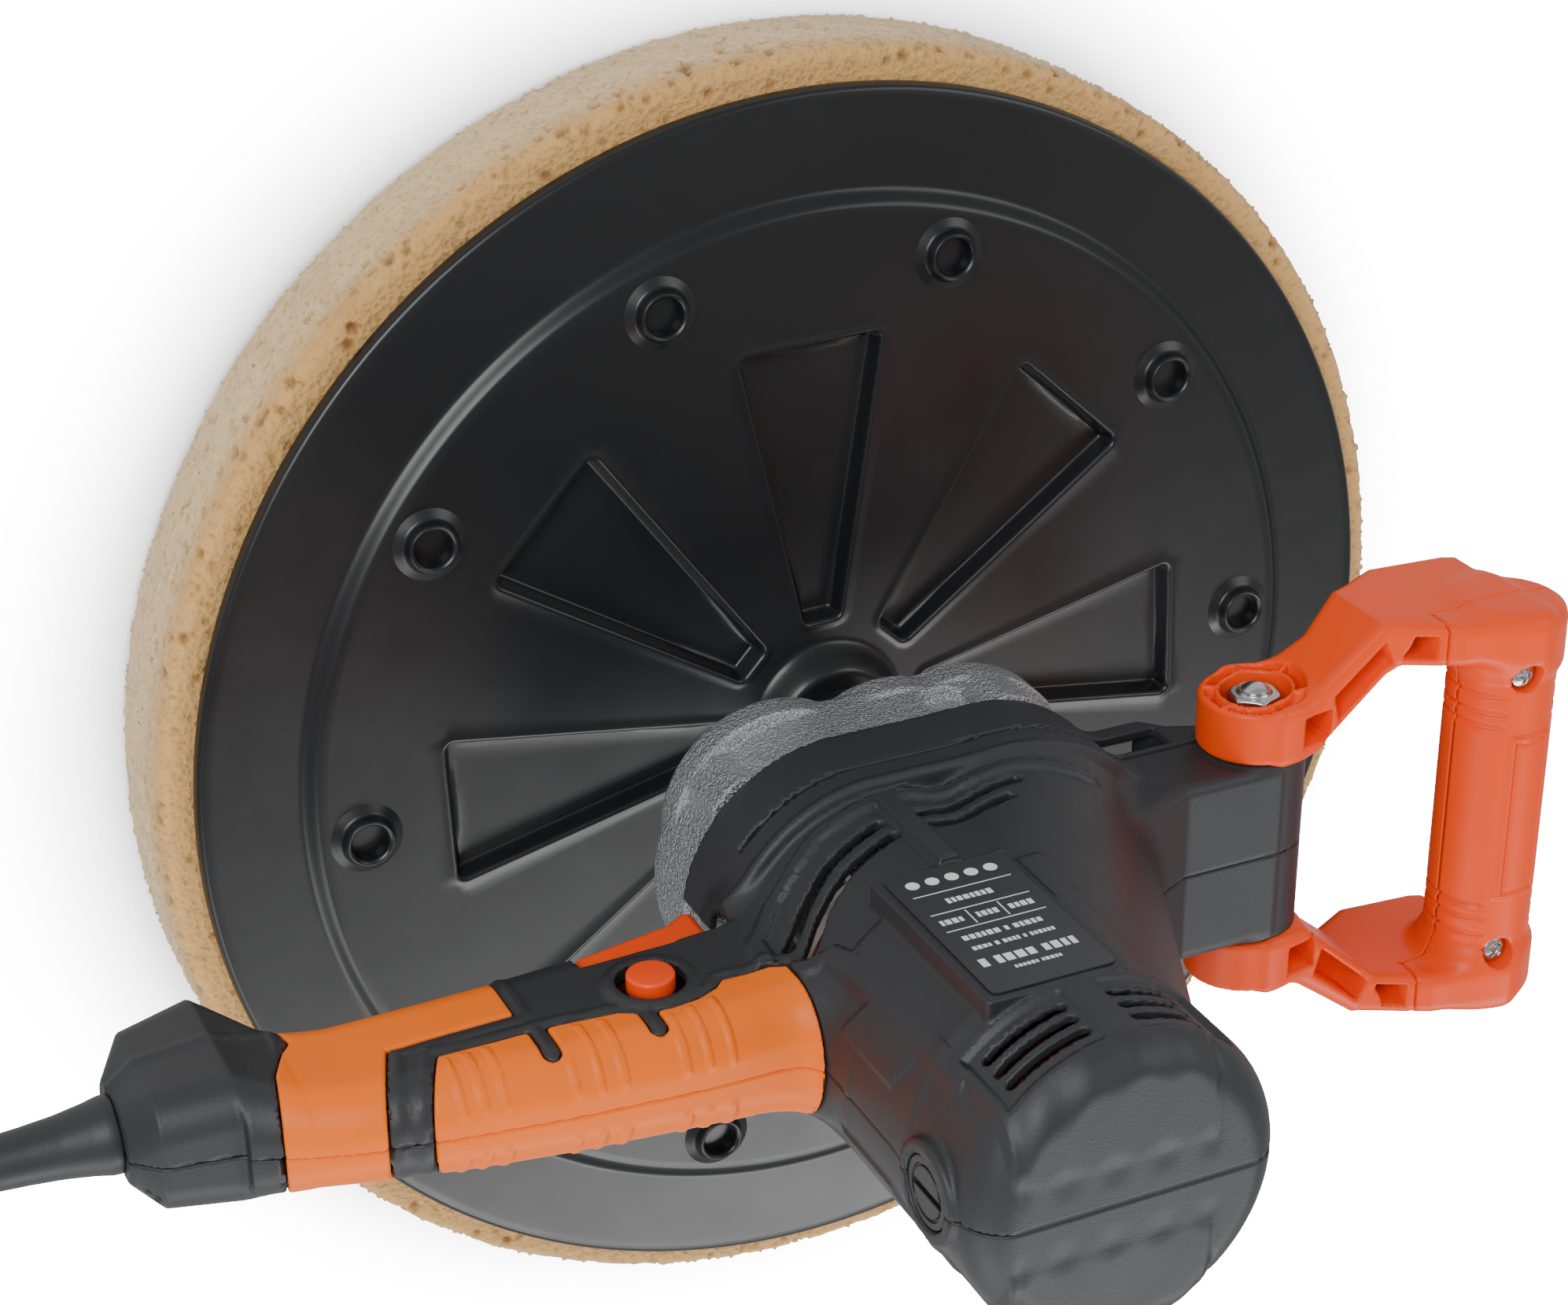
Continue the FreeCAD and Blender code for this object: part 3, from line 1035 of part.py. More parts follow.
def tube(name, route, radius):
    """Straight runs joined by tangent arcs, as large as the runs beside each corner allow."""
    spots = [Vector(*spot) for spot in route]
    edges, start, radii = [], spots[0], []
    for before, corner, after in zip(spots, spots[1:], spots[2:]):
        inward, outward = corner.sub(before), after.sub(corner)
        shorter = min(inward.Length, outward.Length)
        turn = inward.getAngle(outward)
        bendRadius = 0.45 * shorter / math.tan(turn / 2)
        radii.append(round(bendRadius, 1))
        inward.normalize()
        outward.normalize()
        enter = corner.sub(inward * (0.45 * shorter))
        leave = corner.add(outward * (0.45 * shorter))
        toCentre = outward.sub(inward)
        toCentre.normalize()
        centre = corner.add(toCentre * (bendRadius / math.cos(turn / 2)))
        middle = centre.sub(toCentre * bendRadius)
        edges.append(Part.makeLine(start, enter))
        edges.append(Part.Arc(enter, middle, leave).toShape())
        start = leave
    edges.append(Part.makeLine(start, spots[-1]))
    path = Part.Wire(edges)
    first = spots[1].sub(spots[0])
    section = Part.Wire(Part.makeCircle(radius, spots[0], first))
    shape = path.makePipeShell([section], True, False)
    exact = math.pi * radius ** 2 * path.Length
    print(name, "radii", radii, "length", round(path.Length, 1), "volume ratio",
          round(shape.Volume / exact, 4))
    return shaped(name, shape)


keep(tube("cord_lead", LEAD, float(d.cordRadius)), "cord_lead")
coilIn, coilOut = d.coilMid - d.coilHalf, d.coilMid + d.coilHalf
keep(turned("cord_coil", [
    (coilIn, 3), (coilIn + 3, 0), (coilOut - 3, 0), (coilOut, 3), (coilOut, d.coilHalf * 2 - 3),
    (coilOut - 3, d.coilHalf * 2), (coilIn + 3, d.coilHalf * 2), (coilIn, d.coilHalf * 2 - 3),
], (coilX, coilY, 0)), "cord_coil")
plugX, plugY, plugZ = -390.0, 2.0, 19.0
tailStart = Vector(coilX - float(d.coilMid) - 8, coilY, 20)
tailEnd = Vector(plugX, plugY, plugZ)
tailRun = tailEnd.sub(tailStart)
keep(shaped("cord_tail", Part.makeCylinder(float(d.cordRadius), tailRun.Length, tailStart, tailRun)),
     "cord_tail")
plugLong = 44
keep(turned("plug_body", [
    (0, 0), (5.6, 0), (6.6, 14), (11, 20), (16.5, 27), (18.5, 36), (18.5, plugLong), (0, plugLong),
], (plugX, plugY, plugZ), "y"), "plug_body")
pinReach = 9.5
keep(group("plug_pins", *[rod(f"plug_pin_{i}", 2.4, 19, (plugX + x, plugY + plugLong, plugZ), "y")
                          for i, x in enumerate((-pinReach, pinReach))]), "plug_pins")


# ---- check and write -------------------------------------------------------------------------

doc.recompute()
failed = [f"{item.Label}: {item.State}" for item in doc.Objects
          if {"Invalid", "Error"} & set(item.State)]
failed += [f"{item.Label}: bad shape" for item in pieces
           if item.Shape.isNull() or not item.Shape.isValid()]
if failed:
    raise RuntimeError("; ".join(failed))
for item in pieces:
    item.Shape.exportStep(f"parts/{item.Label}.step")
print(len(pieces), "sub-parts written")
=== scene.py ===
import json
import math

import bmesh
import bpy
import numpy as np
from mathutils import Euler, Matrix, Vector

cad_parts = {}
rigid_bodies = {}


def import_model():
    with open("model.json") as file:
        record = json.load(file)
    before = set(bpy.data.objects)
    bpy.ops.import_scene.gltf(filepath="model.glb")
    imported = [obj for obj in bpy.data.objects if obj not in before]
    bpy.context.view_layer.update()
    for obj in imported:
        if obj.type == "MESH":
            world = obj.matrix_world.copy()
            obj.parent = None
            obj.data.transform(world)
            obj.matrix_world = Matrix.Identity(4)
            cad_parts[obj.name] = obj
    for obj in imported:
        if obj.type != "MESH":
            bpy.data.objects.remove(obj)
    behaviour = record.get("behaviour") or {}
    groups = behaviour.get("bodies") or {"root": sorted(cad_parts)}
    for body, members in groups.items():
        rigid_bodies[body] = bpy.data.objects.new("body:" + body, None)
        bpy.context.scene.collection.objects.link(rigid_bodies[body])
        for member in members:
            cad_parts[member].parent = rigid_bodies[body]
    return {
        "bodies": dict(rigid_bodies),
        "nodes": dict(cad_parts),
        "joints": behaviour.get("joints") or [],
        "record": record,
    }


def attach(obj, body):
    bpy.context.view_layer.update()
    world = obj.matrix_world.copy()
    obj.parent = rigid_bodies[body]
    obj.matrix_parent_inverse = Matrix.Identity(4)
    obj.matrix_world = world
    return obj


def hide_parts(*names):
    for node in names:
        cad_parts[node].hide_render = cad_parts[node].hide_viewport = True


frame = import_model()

mm = 0.001  # one millimetre, in metres
scene = bpy.context.scene
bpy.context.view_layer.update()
coarse = 1.0


# camera, floor and light

cameraData = bpy.data.cameras.new("camera")
cameraData.lens = 70.37
cameraData.sensor_width = 36.0
cameraData.clip_start = 0.01
camera = bpy.data.objects.new("camera", cameraData)
camera.location = (-0.3438, 0.4083, 0.7590)
camera.rotation_euler = Euler([math.radians(a) for a in (-25.866, -25.189, -0.627)], "XYZ")
scene.collection.objects.link(camera)
scene.camera = camera


def linear(colour):
    channels = [int(colour[i:i + 2], 16) / 255 for i in (1, 3, 5)]
    return tuple(c / 12.92 if c <= 0.04045 else ((c + 0.055) / 1.055) ** 2.4 for c in channels) + (1.0,)


def addNode(tree, kind, inputs=None, **settings):
    made = tree.nodes.new(kind)
    for key, value in settings.items():
        setattr(made, key, value)
    for key, value in (inputs or {}).items():
        if isinstance(value, bpy.types.NodeSocket):
            tree.links.new(value, made.inputs[key])
        else:
            made.inputs[key].default_value = value
    return made


stage = {
    "floorColour": "#FFFFFF",
    "worldDim": 0.42,
    "worldBright": 30.0,
    "bounceColour": "#808080",
    "floorDim": 0.5,
    # floorShade, shadowReach and shadowPower set the painted contact shadow dimmed into the floor's glow
    "floorShade": 0.6,
    "floorBright": 24.0,
    "shadowReach": 0.16,
    "shadowPower": 5.0,
    "lights": [
        # name, place, aimed at, width, height, watts
        ("keyPanel", (-0.92, 0.82, 1.12), (-0.05, 0, 0.1), 0.9, 0.7, 17.0),
        ("fillPanel", (1.0, 0.7, 1.1), (0.0, 0, 0.1), 0.8, 0.8, 5.0),
        ("backPanel", (0.35, -1.25, 1.15), (0.0, 0, 0.1), 1.5, 0.45, 17.0),
        ("lowPanel", (-0.7, -0.9, 0.55), (-0.1, 0, 0.15), 0.8, 0.6, 4.5),
    ],
}

world = bpy.data.worlds.new("studio")
world.use_nodes = True
scene.world = world
tree = world.node_tree
tree.nodes.clear()
ray = addNode(tree, "ShaderNodeLightPath")
bright = addNode(tree, "ShaderNodeBackground", {"Color": (1, 1, 1, 1), "Strength": stage["worldBright"]})
dim = addNode(tree, "ShaderNodeBackground", {"Color": (1, 1, 1, 1), "Strength": stage["worldDim"]})
chosen = addNode(tree, "ShaderNodeMixShader", {0: ray.outputs["Is Camera Ray"], 1: dim.outputs[0],
                                               2: bright.outputs[0]})
addNode(tree, "ShaderNodeOutputWorld", {"Surface": chosen.outputs[0]})

for name, spot, aim, width, height, watts in stage["lights"]:
    lamp = bpy.data.lights.new(name, "AREA")
    lamp.shape = "RECTANGLE"
    lamp.size, lamp.size_y, lamp.energy = width, height, watts
    holder = bpy.data.objects.new(name, lamp)
    holder.location = spot
    holder.rotation_euler = (Vector(aim) - Vector(spot)).to_track_quat("-Z", "Y").to_euler()
    scene.collection.objects.link(holder)

floorMesh = bpy.data.meshes.new("floor")
reach = 6.0
floorMesh.from_pydata([(-reach, -reach, 0), (reach, -reach, 0), (reach, reach, 0), (-reach, reach, 0)], [],
                      [(0, 1, 2, 3)])
floor = bpy.data.objects.new("floor", floorMesh)
scene.collection.objects.link(floor)
paper = bpy.data.materials.new("pale studio floor, painted contact shadow")
paper.use_nodes = True
tree = paper.node_tree
tree.nodes.clear()
ray = addNode(tree, "ShaderNodeLightPath")
# for camera rays the floor glow is dimmed by ambient occlusion near the object: a painted contact shadow
paintedShadowMask = addNode(tree, "ShaderNodeAmbientOcclusion", {"Distance": stage["shadowReach"]}, samples=6)
paintedShadowFalloff = addNode(tree, "ShaderNodeMath", {0: paintedShadowMask.outputs["AO"], 1: stage["shadowPower"]},
                   operation="POWER")
paintedShadowGlow = addNode(tree, "ShaderNodeMapRange", {"Value": paintedShadowFalloff.outputs[0], "To Min": stage["floorShade"],
                                            "To Max": stage["floorBright"]})
level = addNode(tree, "ShaderNodeMapRange", {"Value": ray.outputs["Is Camera Ray"],
                                             "To Min": stage["floorDim"], "To Max": paintedShadowGlow.outputs[0]})
glow = addNode(tree, "ShaderNodeEmission", {"Color": linear(stage["floorColour"]),
                                            "Strength": level.outputs[0]})
matt = addNode(tree, "ShaderNodeBsdfDiffuse", {"Color": linear(stage["bounceColour"])})
both = addNode(tree, "ShaderNodeAddShader", {0: glow.outputs[0], 1: matt.outputs[0]})
addNode(tree, "ShaderNodeOutputMaterial", {"Surface": both.outputs[0]})
floorMesh.materials.append(paper)
print("stage ready")


# materials

def surface(name, colour, rough, grain=(), metal=0.0, shade=0.06, shadeSize=60.0, roughShade=0.05, **extra):
    # grain is a list of (noise size per metre, height in metres)
    material = bpy.data.materials.new(name)
    material.use_nodes = True
    tree = material.node_tree
    shader = tree.nodes["Principled BSDF"]
    place = addNode(tree, "ShaderNodeTexCoord")
    patches = addNode(tree, "ShaderNodeTexNoise", {"Vector": place.outputs["Object"], "Scale": shadeSize,
                                                   "Detail": 3.0})
    base = linear(colour)
    darker = tuple(c * (1 - shade) for c in base[:3]) + (1,)
    lighter = tuple(min(1, c * (1 + shade)) for c in base[:3]) + (1,)
    tint = addNode(tree, "ShaderNodeMix", {0: patches.outputs["Fac"], 6: darker, 7: lighter},
                   data_type="RGBA")
    tree.links.new(tint.outputs[2], shader.inputs["Base Color"])
    level = addNode(tree, "ShaderNodeMapRange", {"Value": patches.outputs["Fac"],
                                                 "To Min": max(0.02, rough - roughShade),
                                                 "To Max": min(1.0, rough + roughShade)})
    tree.links.new(level.outputs[0], shader.inputs["Roughness"])
    shader.inputs["Metallic"].default_value = metal
    for key, value in extra.items():
        shader.inputs[key.replace("_", " ")].default_value = value
    last = None
    for size, height in grain:
        noise = addNode(tree, "ShaderNodeTexNoise", {"Vector": place.outputs["Object"], "Scale": size,
                                                     "Detail": 2.0, "Roughness": 0.6})
        bump = addNode(tree, "ShaderNodeBump", {"Height": noise.outputs["Fac"], "Distance": height})
        if last:
            tree.links.new(last.outputs[0], bump.inputs["Normal"])
        last = bump
    if last:
        tree.links.new(last.outputs[0], shader.inputs["Normal"])
    return material


finishes = {
    # spark texture over glass fibre: matt charcoal with a fine grain
    "housing_plastic": surface("glass filled nylon, spark textured", "#2A2B2E", 0.50,
                               [(1500, 0.00006)], shade=0.05),
    # soft moulded rubber: even strong colour and a broad dull highlight
    "grip_rubber": surface("orange thermoplastic rubber, satin", "#FF7200", 0.46, [(1300, 0.00003)],
                           shade=0.04, Specular_IOR_Level=0.3),
    # shot blasting leaves a sparkling grain, drawn coarser than real so that it shows
    "cast_alloy": surface("die cast aluminium, shot blasted", "#B2B4B6", 0.40,
                          [(1500, 0.0010), (700, 0.0005)], metal=1.0, shade=0.28, shadeSize=1500,
                          roughShade=0.14),
    # thin bright plating: small sharp highlights
    "zinc_steel": surface("zinc plated steel, bright", "#C3C4C6", 0.24, [(500, 0.00001)], metal=1.0),
    # ground steel: clean, evenly mirrored
    "bearing_steel": surface("bearing steel, ground", "#9EA0A3", 0.22, metal=1.0),
    # an oil film darkens the steel and smooths its shine
    "gear_steel": surface("hardened gear steel, oiled", "#85868A", 0.30, metal=1.0),
    # varnish over stacked sheets: dull dark grey
    "core_steel": surface("laminated core steel, varnished", "#5E6066", 0.45, [(1800, 0.00006)], metal=0.8),
    # enamel gives the wire a brown gloss
    "copper": surface("enamelled copper wire, varnished", "#B4622F", 0.32, [(1500, 0.0001)], metal=0.9,
                      shade=0.15, shadeSize=400),
    "brass": surface("brass, machined", "#C9A050", 0.28, metal=1.0),
    # pressed powder: black and nearly dull
    "carbon": surface("electrographite, pressed", "#2B2B2C", 0.55, [(1500, 0.00005)]),
    "spring_steel": surface("spring steel wire, drawn", "#A8A9AB", 0.27, metal=1.0),
    # hard phenolic: deeper black, tighter highlight than the housing
    "cap_plastic": surface("phenolic cap, semi gloss", "#1B1B1D", 0.36, [(1200, 0.00002)]),
    "seal_rubber": surface("nitrile rubber, moulded", "#1E1E1F", 0.55, [(1500, 0.00003)]),
    # smooth film: flatter and slightly lighter than the housing
    "label_film": surface("polyester label film, satin", "#2F3033", 0.34, [(900, 0.00001)], shade=0.03),
    "switch_plastic": surface("polycarbonate switch case, satin", "#25262A", 0.40, [(900, 0.00002)]),
    # matt rubber: soft wide highlight along the cord
    "lead_rubber": surface("rubber mains lead, matt", "#2B2C2E", 0.46, [(1400, 0.00005)], shade=0.05),
    "nickel_brass": surface("nickel plated brass, polished", "#CFCBC2", 0.20, metal=1.0),
    "hook_fabric": surface("hook and loop fabric, woven", "#232325", 0.85, [(1800, 0.0003)],
                           Sheen_Weight=0.3),
    # moulded on a polished face: near black with long soft reflections
    "plate_plastic": surface("black ABS plate, satin gloss", "#17181A", 0.31, [(260, 0.00002)],
                             shade=0.05, roughShade=0.04),
    "fan_plastic": surface("nylon fan, moulded", "#DADAD4", 0.45, [(900, 0.00002)]),
    # polypropylene: strong orange with a soft satin shine
    "handle_plastic": surface("orange polypropylene handle, satin", "#FB4A00", 0.40, [(1200, 0.00002)],
                              shade=0.03, Specular_IOR_Level=0.35),
    # acetal: brighter and smoother than the handle
    "button_plastic": surface("orange acetal button, satin", "#FF4A02", 0.34, [(1200, 0.00002)],
                              shade=0.03),
    # ink is a thin, dry, matt layer
    "print_white": surface("white screen print ink, matt", "#E4E5E6", 0.5, [(900, 0.00001)], shade=0.03),
}

slotOf = {row["node"]: row["material_slot"] for row in frame["record"]["subparts"]}
for name, item in frame["nodes"].items():
    kept = finishes.get(slotOf.get(name)) or finishes["zinc_steel"]
    item.data.materials.clear()
    item.data.materials.append(kept)
print("materials ready", len(slotOf))


# shaping by distance rules: every length below is in millimetres, negative is inside

def softMin(a, b, k=1.0):
    h = np.clip(0.5 + 0.5 * (b - a) / k, 0, 1)
    return b + (a - b) * h - k * h * (1 - h)


def softMax(a, b, k=1.0):
    return -softMin(-a, -b, k)


def edged(across, along, bend=0.0):
    across, along = across + bend, along + bend
    inner = np.minimum(np.maximum(across, along), 0)
    return inner + np.hypot(np.maximum(across, 0), np.maximum(along, 0)) - bend


def boxShape(p, centre, half, bend=0.0):
    q = [np.abs(p[i] - centre[i]) - half[i] + bend for i in range(3)]
    outside = np.sqrt(sum(np.maximum(part, 0) ** 2 for part in q))
    return outside + np.minimum(np.maximum(np.maximum(q[0], q[1]), q[2]), 0) - bend


def rodShape(p, axis, centre, radius, low, high, bend=0.0):
    u, v = [i for i in range(3) if i != axis]
    across = np.hypot(p[u] - centre[0], p[v] - centre[1]) - radius
    return edged(across, np.abs(p[axis] - (low + high) / 2) - (high - low) / 2, bend)


def outlineShape(u, v, corners):
    near = np.full(u.shape, 1e9, u.dtype)
    sign = np.ones(u.shape, u.dtype)
    for (ax, ay), (bx, by) in zip(corners, corners[1:] + corners[:1]):
        ex, ey = bx - ax, by - ay
        wx, wy = u - ax, v - ay
        t = np.clip((wx * ex + wy * ey) / (ex * ex + ey * ey), 0, 1)
        near = np.minimum(near, (wx - ex * t) ** 2 + (wy - ey * t) ** 2)
        above, below, left = v >= ay, v < by, ex * wy > ey * wx
        sign = np.where((above & below & left) | ~(above | below | left), -sign, sign)
    return sign * np.sqrt(near)


def slabShape(u, v, w, corners, low, high, bend=0.0):
    return edged(outlineShape(u, v, corners), np.abs(w - (low + high) / 2) - (high - low) / 2, bend)


def trackShape(u, v, spots, half):
    near = np.full(u.shape, 1e9, u.dtype)
    for (ax, ay), (bx, by) in zip(spots, spots[1:]):
        ex, ey = bx - ax, by - ay
        t = np.clip(((u - ax) * ex + (v - ay) * ey) / (ex * ex + ey * ey), 0, 1)
        near = np.minimum(near, (u - ax - ex * t) ** 2 + (v - ay - ey * t) ** 2)
    return np.sqrt(near) - half


def obroundShape(p, centreX, radius, low, high, bend=0.0):
    dx = p[0] - np.clip(p[0], centreX, 0)
    return edged(np.hypot(dx, p[1]) - radius, np.abs(p[2] - (low + high) / 2) - (high - low) / 2, bend)


def step(x, start, end):
    t = np.clip((x - start) / (end - start), 0, 1)
    return t * t * (3 - 2 * t)


cellCorners = [(i, j, k) for i in (0, 1) for j in (0, 1) for k in (0, 1)]
cellEdges = [(a, b) for a in range(8) for b in range(a + 1, 8)
         if sum(abs(x - y) for x, y in zip(cellCorners[a], cellCorners[b])) == 1]


def sampled(rule, spots, chunk=500000):
    out = np.empty(len(spots), np.float32)
    for start in range(0, len(spots), chunk):
        part = spots[start:start + chunk]
        out[start:start + chunk] = rule((part[:, 0], part[:, 1], part[:, 2]))
    return out


def skinned(rule, low, high, cell):
    # a closed mesh on the zero level of a distance rule
    cell = cell * coarse
    block = 8
    counts = [int(math.ceil((high[i] - low[i]) / cell / block) + 1) * block for i in range(3)]
    base = np.array([low[i] - 2.37 * cell for i in range(3)], np.float32)
    blocks = [n // block for n in counts]
    middles = np.stack(np.meshgrid(*[(np.arange(n) + 0.5) * block * cell for n in blocks],
                                   indexing="ij"), -1).reshape(-1, 3).astype(np.float32) + base
    rough = sampled(rule, middles)
    live = np.abs(rough) < block * cell * 0.88 * 1.5 + cell
    grid = np.repeat(np.repeat(np.repeat(np.where(rough < 0, -99, 99).astype(np.float32)
                                         .reshape(blocks), block, 0), block, 1), block, 2)
    mask = np.repeat(np.repeat(np.repeat(live.reshape(blocks), block, 0), block, 1), block, 2)
    index = np.argwhere(mask)
    grid[mask] = sampled(rule, index.astype(np.float32) * cell + base)
    for axis in range(3):
        side = [slice(None)] * 3
        for end in (0, -1):
            side[axis] = end
            grid[tuple(side)] = 99
    inside = grid < 0
    hits = sum(inside[i:counts[0] - 1 + i, j:counts[1] - 1 + j, k:counts[2] - 1 + k].astype(np.int8)
               for i, j, k in cellCorners)
    cells = np.argwhere((hits > 0) & (hits < 8))
    values = np.stack([grid[cells[:, 0] + i, cells[:, 1] + j, cells[:, 2] + k]
                       for i, j, k in cellCorners], 1)
    total = np.zeros((len(cells), 3), np.float32)
    share = np.zeros((len(cells), 1), np.float32)
    corners = np.array(cellCorners, np.float32)
    for a, b in cellEdges:
        va, vb = values[:, a:a + 1], values[:, b:b + 1]
        cross = (va < 0) != (vb < 0)
        t = np.where(cross, va / np.where(cross, va - vb, 1), 0)
        total += np.where(cross, corners[a] + (corners[b] - corners[a]) * t, 0)
        share += cross
    spots = (cells + total / share) * cell + base
    spots = spots.astype(np.float32)
    start = spots.copy()
    small = 0.12 * cell
    for turn in range(4):
        here = sampled(rule, spots)
        slope = np.stack([sampled(rule, spots + np.eye(3, dtype=np.float32)[i] * small)
                          - sampled(rule, spots - np.eye(3, dtype=np.float32)[i] * small)
                          for i in range(3)], 1) / (2 * small)
        size = np.maximum((slope ** 2).sum(1), 0.04)
        if turn == 3:
            break
        spots = spots - slope * (here / size)[:, None]
        spots = start + np.clip(spots - start, -0.75 * cell, 0.75 * cell)
    normals = slope / np.sqrt(size)[:, None]
    number = np.full([n - 1 for n in counts], -1, np.int64)
    number[cells[:, 0], cells[:, 1], cells[:, 2]] = np.arange(len(cells))
    faces = []
    for axis in range(3):
        u, v = (axis + 1) % 3, (axis + 2) % 3
        a = [slice(1, n - 1) for n in counts]
        b = list(a)
        a[axis], b[axis] = slice(0, counts[axis] - 1), slice(1, counts[axis])
        first, second = inside[tuple(a)], inside[tuple(b)]
        edge = np.argwhere(first != second)
        out = first[edge[:, 0], edge[:, 1], edge[:, 2]]
        edge[:, u] += 1
        edge[:, v] += 1
        ring = []
        for du, dv in ((-1, -1), (0, -1), (0, 0), (-1, 0)):
            spot = edge.copy()
            spot[:, u] += du
            spot[:, v] += dv
            ring.append(number[spot[:, 0], spot[:, 1], spot[:, 2]])
        ring = np.stack(ring, 1)
        faces.append(np.where(out[:, None], ring, ring[:, ::-1]))
    return spots, np.concatenate(faces), normals


def meshFrom(name, spots, faces, normals=None, material=None):
    mesh = bpy.data.meshes.new(name)
    spots = np.asarray(spots, np.float64) * mm
    faces = np.asarray(faces)
    width = faces.shape[1]
    mesh.vertices.add(len(spots))
    mesh.vertices.foreach_set("co", spots.ravel())
    mesh.loops.add(faces.size)
    mesh.loops.foreach_set("vertex_index", faces.ravel().astype(np.int32))
    mesh.polygons.add(len(faces))
    mesh.polygons.foreach_set("loop_start", np.arange(0, faces.size, width, dtype=np.int32))
    mesh.polygons.foreach_set("use_smooth", np.ones(len(faces), bool))
    mesh.update(calc_edges=True)
    mesh.validate()
    if normals is not None:
        mesh.normals_split_custom_set_from_vertices(np.asarray(normals, np.float64).tolist())
    item = bpy.data.objects.new(name, mesh)
    scene.collection.objects.link(item)
    if material:
        mesh.materials.append(material)
    return item


def moulded(name, rule, low, high, cell, slotName, body, nodes=()):
    spots, faces, normals = skinned(rule, low, high, cell)
    item = meshFrom(name, spots, faces, normals, finishes[slotName])
    return joined(item, slotName, body, nodes)


def joined(item, slotName, body, nodes=()):
    if not item.data.materials:
        item.data.materials.append(finishes[slotName])
    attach(item, body)
    if nodes:
        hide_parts(*nodes)
    if item.type == "MESH":
        print(item.name, "faces", len(item.data.polygons))
    return item


def turnedMesh(name, profile, axis="z", centre=(0, 0, 0), sides=64, closed=False):
    # (radius, height) corners turned about an axis; ends at radius 0 close themselves
    spots, faces, rows = [], [], []
    for radius, height in profile:
        if radius < 1e-6:
            rows.append([len(spots)])
            spots.append((0, 0, height))
        else:
            rows.append(list(range(len(spots), len(spots) + sides)))
            turns = [2 * math.pi * i / sides for i in range(sides)]
            spots += [(radius * math.cos(a), radius * math.sin(a), height) for a in turns]
    pairs = list(zip(rows, rows[1:]))
    if closed:
        pairs.append((rows[-1], rows[0]))
    for lower, upper in pairs:
        for i in range(sides):
            j = (i + 1) % sides
            ring = [lower[i % len(lower)], lower[j % len(lower)],
                    upper[j % len(upper)], upper[i % len(upper)]]
            ring = [v for k, v in enumerate(ring) if v not in ring[:k]]
            if len(ring) > 2:
                faces.append(ring)
    quarter = math.pi / 2
    lay = {"z": Matrix(),
           "x": Matrix.Rotation(quarter, 4, "Y"), "-x": Matrix.Rotation(-quarter, 4, "Y"),
           "y": Matrix.Rotation(-quarter, 4, "X"), "-y": Matrix.Rotation(quarter, 4, "X")}[axis]
    mesh = bpy.data.meshes.new(name)
    mesh.from_pydata([tuple((lay @ Vector(s) + Vector(centre)) * mm) for s in spots], [], faces)
    for face in mesh.polygons:
        face.use_smooth = True
    mesh.set_sharp_from_angle(angle=math.radians(38))
    mesh.update()
    item = bpy.data.objects.new(name, mesh)
    scene.collection.objects.link(item)
    return item


def rounded(profile, bend, steps=4, closed=False):
    # a (radius, height) outline with its corners eased by arcs
    out = []
    count = len(profile)
    for i, spot in enumerate(profile):
        if not closed and i in (0, count - 1):
            out.append(spot)
            continue
        here = Vector(spot)
        before, after = Vector(profile[i - 1]), Vector(profile[(i + 1) % count])
        inward, outward = before - here, after - here
        back = min(bend, inward.length * 0.45, outward.length * 0.45)
        a, b = here + inward.normalized() * back, here + outward.normalized() * back
        for k in range(steps + 1):
            t = k / steps
            spotAt = a * (1 - t) ** 2 + here * 2 * t * (1 - t) + b * t * t
            out.append((spotAt.x, spotAt.y))
    return out


copier = bpy.data.node_groups.new("copies on points", "GeometryNodeTree")
for label, kind in (("Geometry", "NodeSocketGeometry"), ("Source", "NodeSocketObject"),
                    ("Finish", "NodeSocketMaterial")):
    copier.interface.new_socket(label, in_out="INPUT", socket_type=kind)
copier.interface.new_socket("Geometry", in_out="OUTPUT", socket_type="NodeSocketGeometry")
given = addNode(copier, "NodeGroupInput")
points = addNode(copier, "GeometryNodeMeshToPoints", {"Mesh": given.outputs["Geometry"]})
source = addNode(copier, "GeometryNodeObjectInfo", {"Object": given.outputs["Source"]})
facing = addNode(copier, "GeometryNodeInputNamedAttribute", {"Name": "facing"}, data_type="FLOAT_VECTOR")
copies = addNode(copier, "GeometryNodeInstanceOnPoints", {
    "Points": points.outputs[0], "Instance": source.outputs["Geometry"],
    "Rotation": facing.outputs["Attribute"]})
real = addNode(copier, "GeometryNodeRealizeInstances", {"Geometry": copies.outputs[0]})
painted = addNode(copier, "GeometryNodeSetMaterial", {"Geometry": real.outputs[0],
                                                      "Material": given.outputs["Finish"]})
addNode(copier, "NodeGroupOutput", {"Geometry": painted.outputs[0]})


def repeated(name, source, spots, turns, slotName):
    # copies of one mesh at several places, each with its own turn
    mesh = bpy.data.meshes.new(name + "Places")
    mesh.from_pydata([tuple(c * mm for c in spot) for spot in spots], [], [])
    mesh.attributes.new("facing", "FLOAT_VECTOR", "POINT").data.foreach_set(
        "vector", [c for turn in turns for c in turn])
    holder = bpy.data.objects.new(name + "Places", mesh)
    scene.collection.objects.link(holder)
    modifier = holder.modifiers.new("copies", "NODES")
    modifier.node_group = copier
    sockets = {s.name: s.identifier for s in copier.interface.items_tree if s.in_out == "INPUT"}
    modifier[sockets["Source"]] = source
    modifier[sockets["Finish"]] = finishes[slotName]
    graph = bpy.context.evaluated_depsgraph_get()
    made = bpy.data.meshes.new_from_object(holder.evaluated_get(graph))
    made.name = name
    item = bpy.data.objects.new(name, made)
    scene.collection.objects.link(item)
    bpy.data.objects.remove(holder)
    bpy.data.objects.remove(source)
    return item


# backing plate

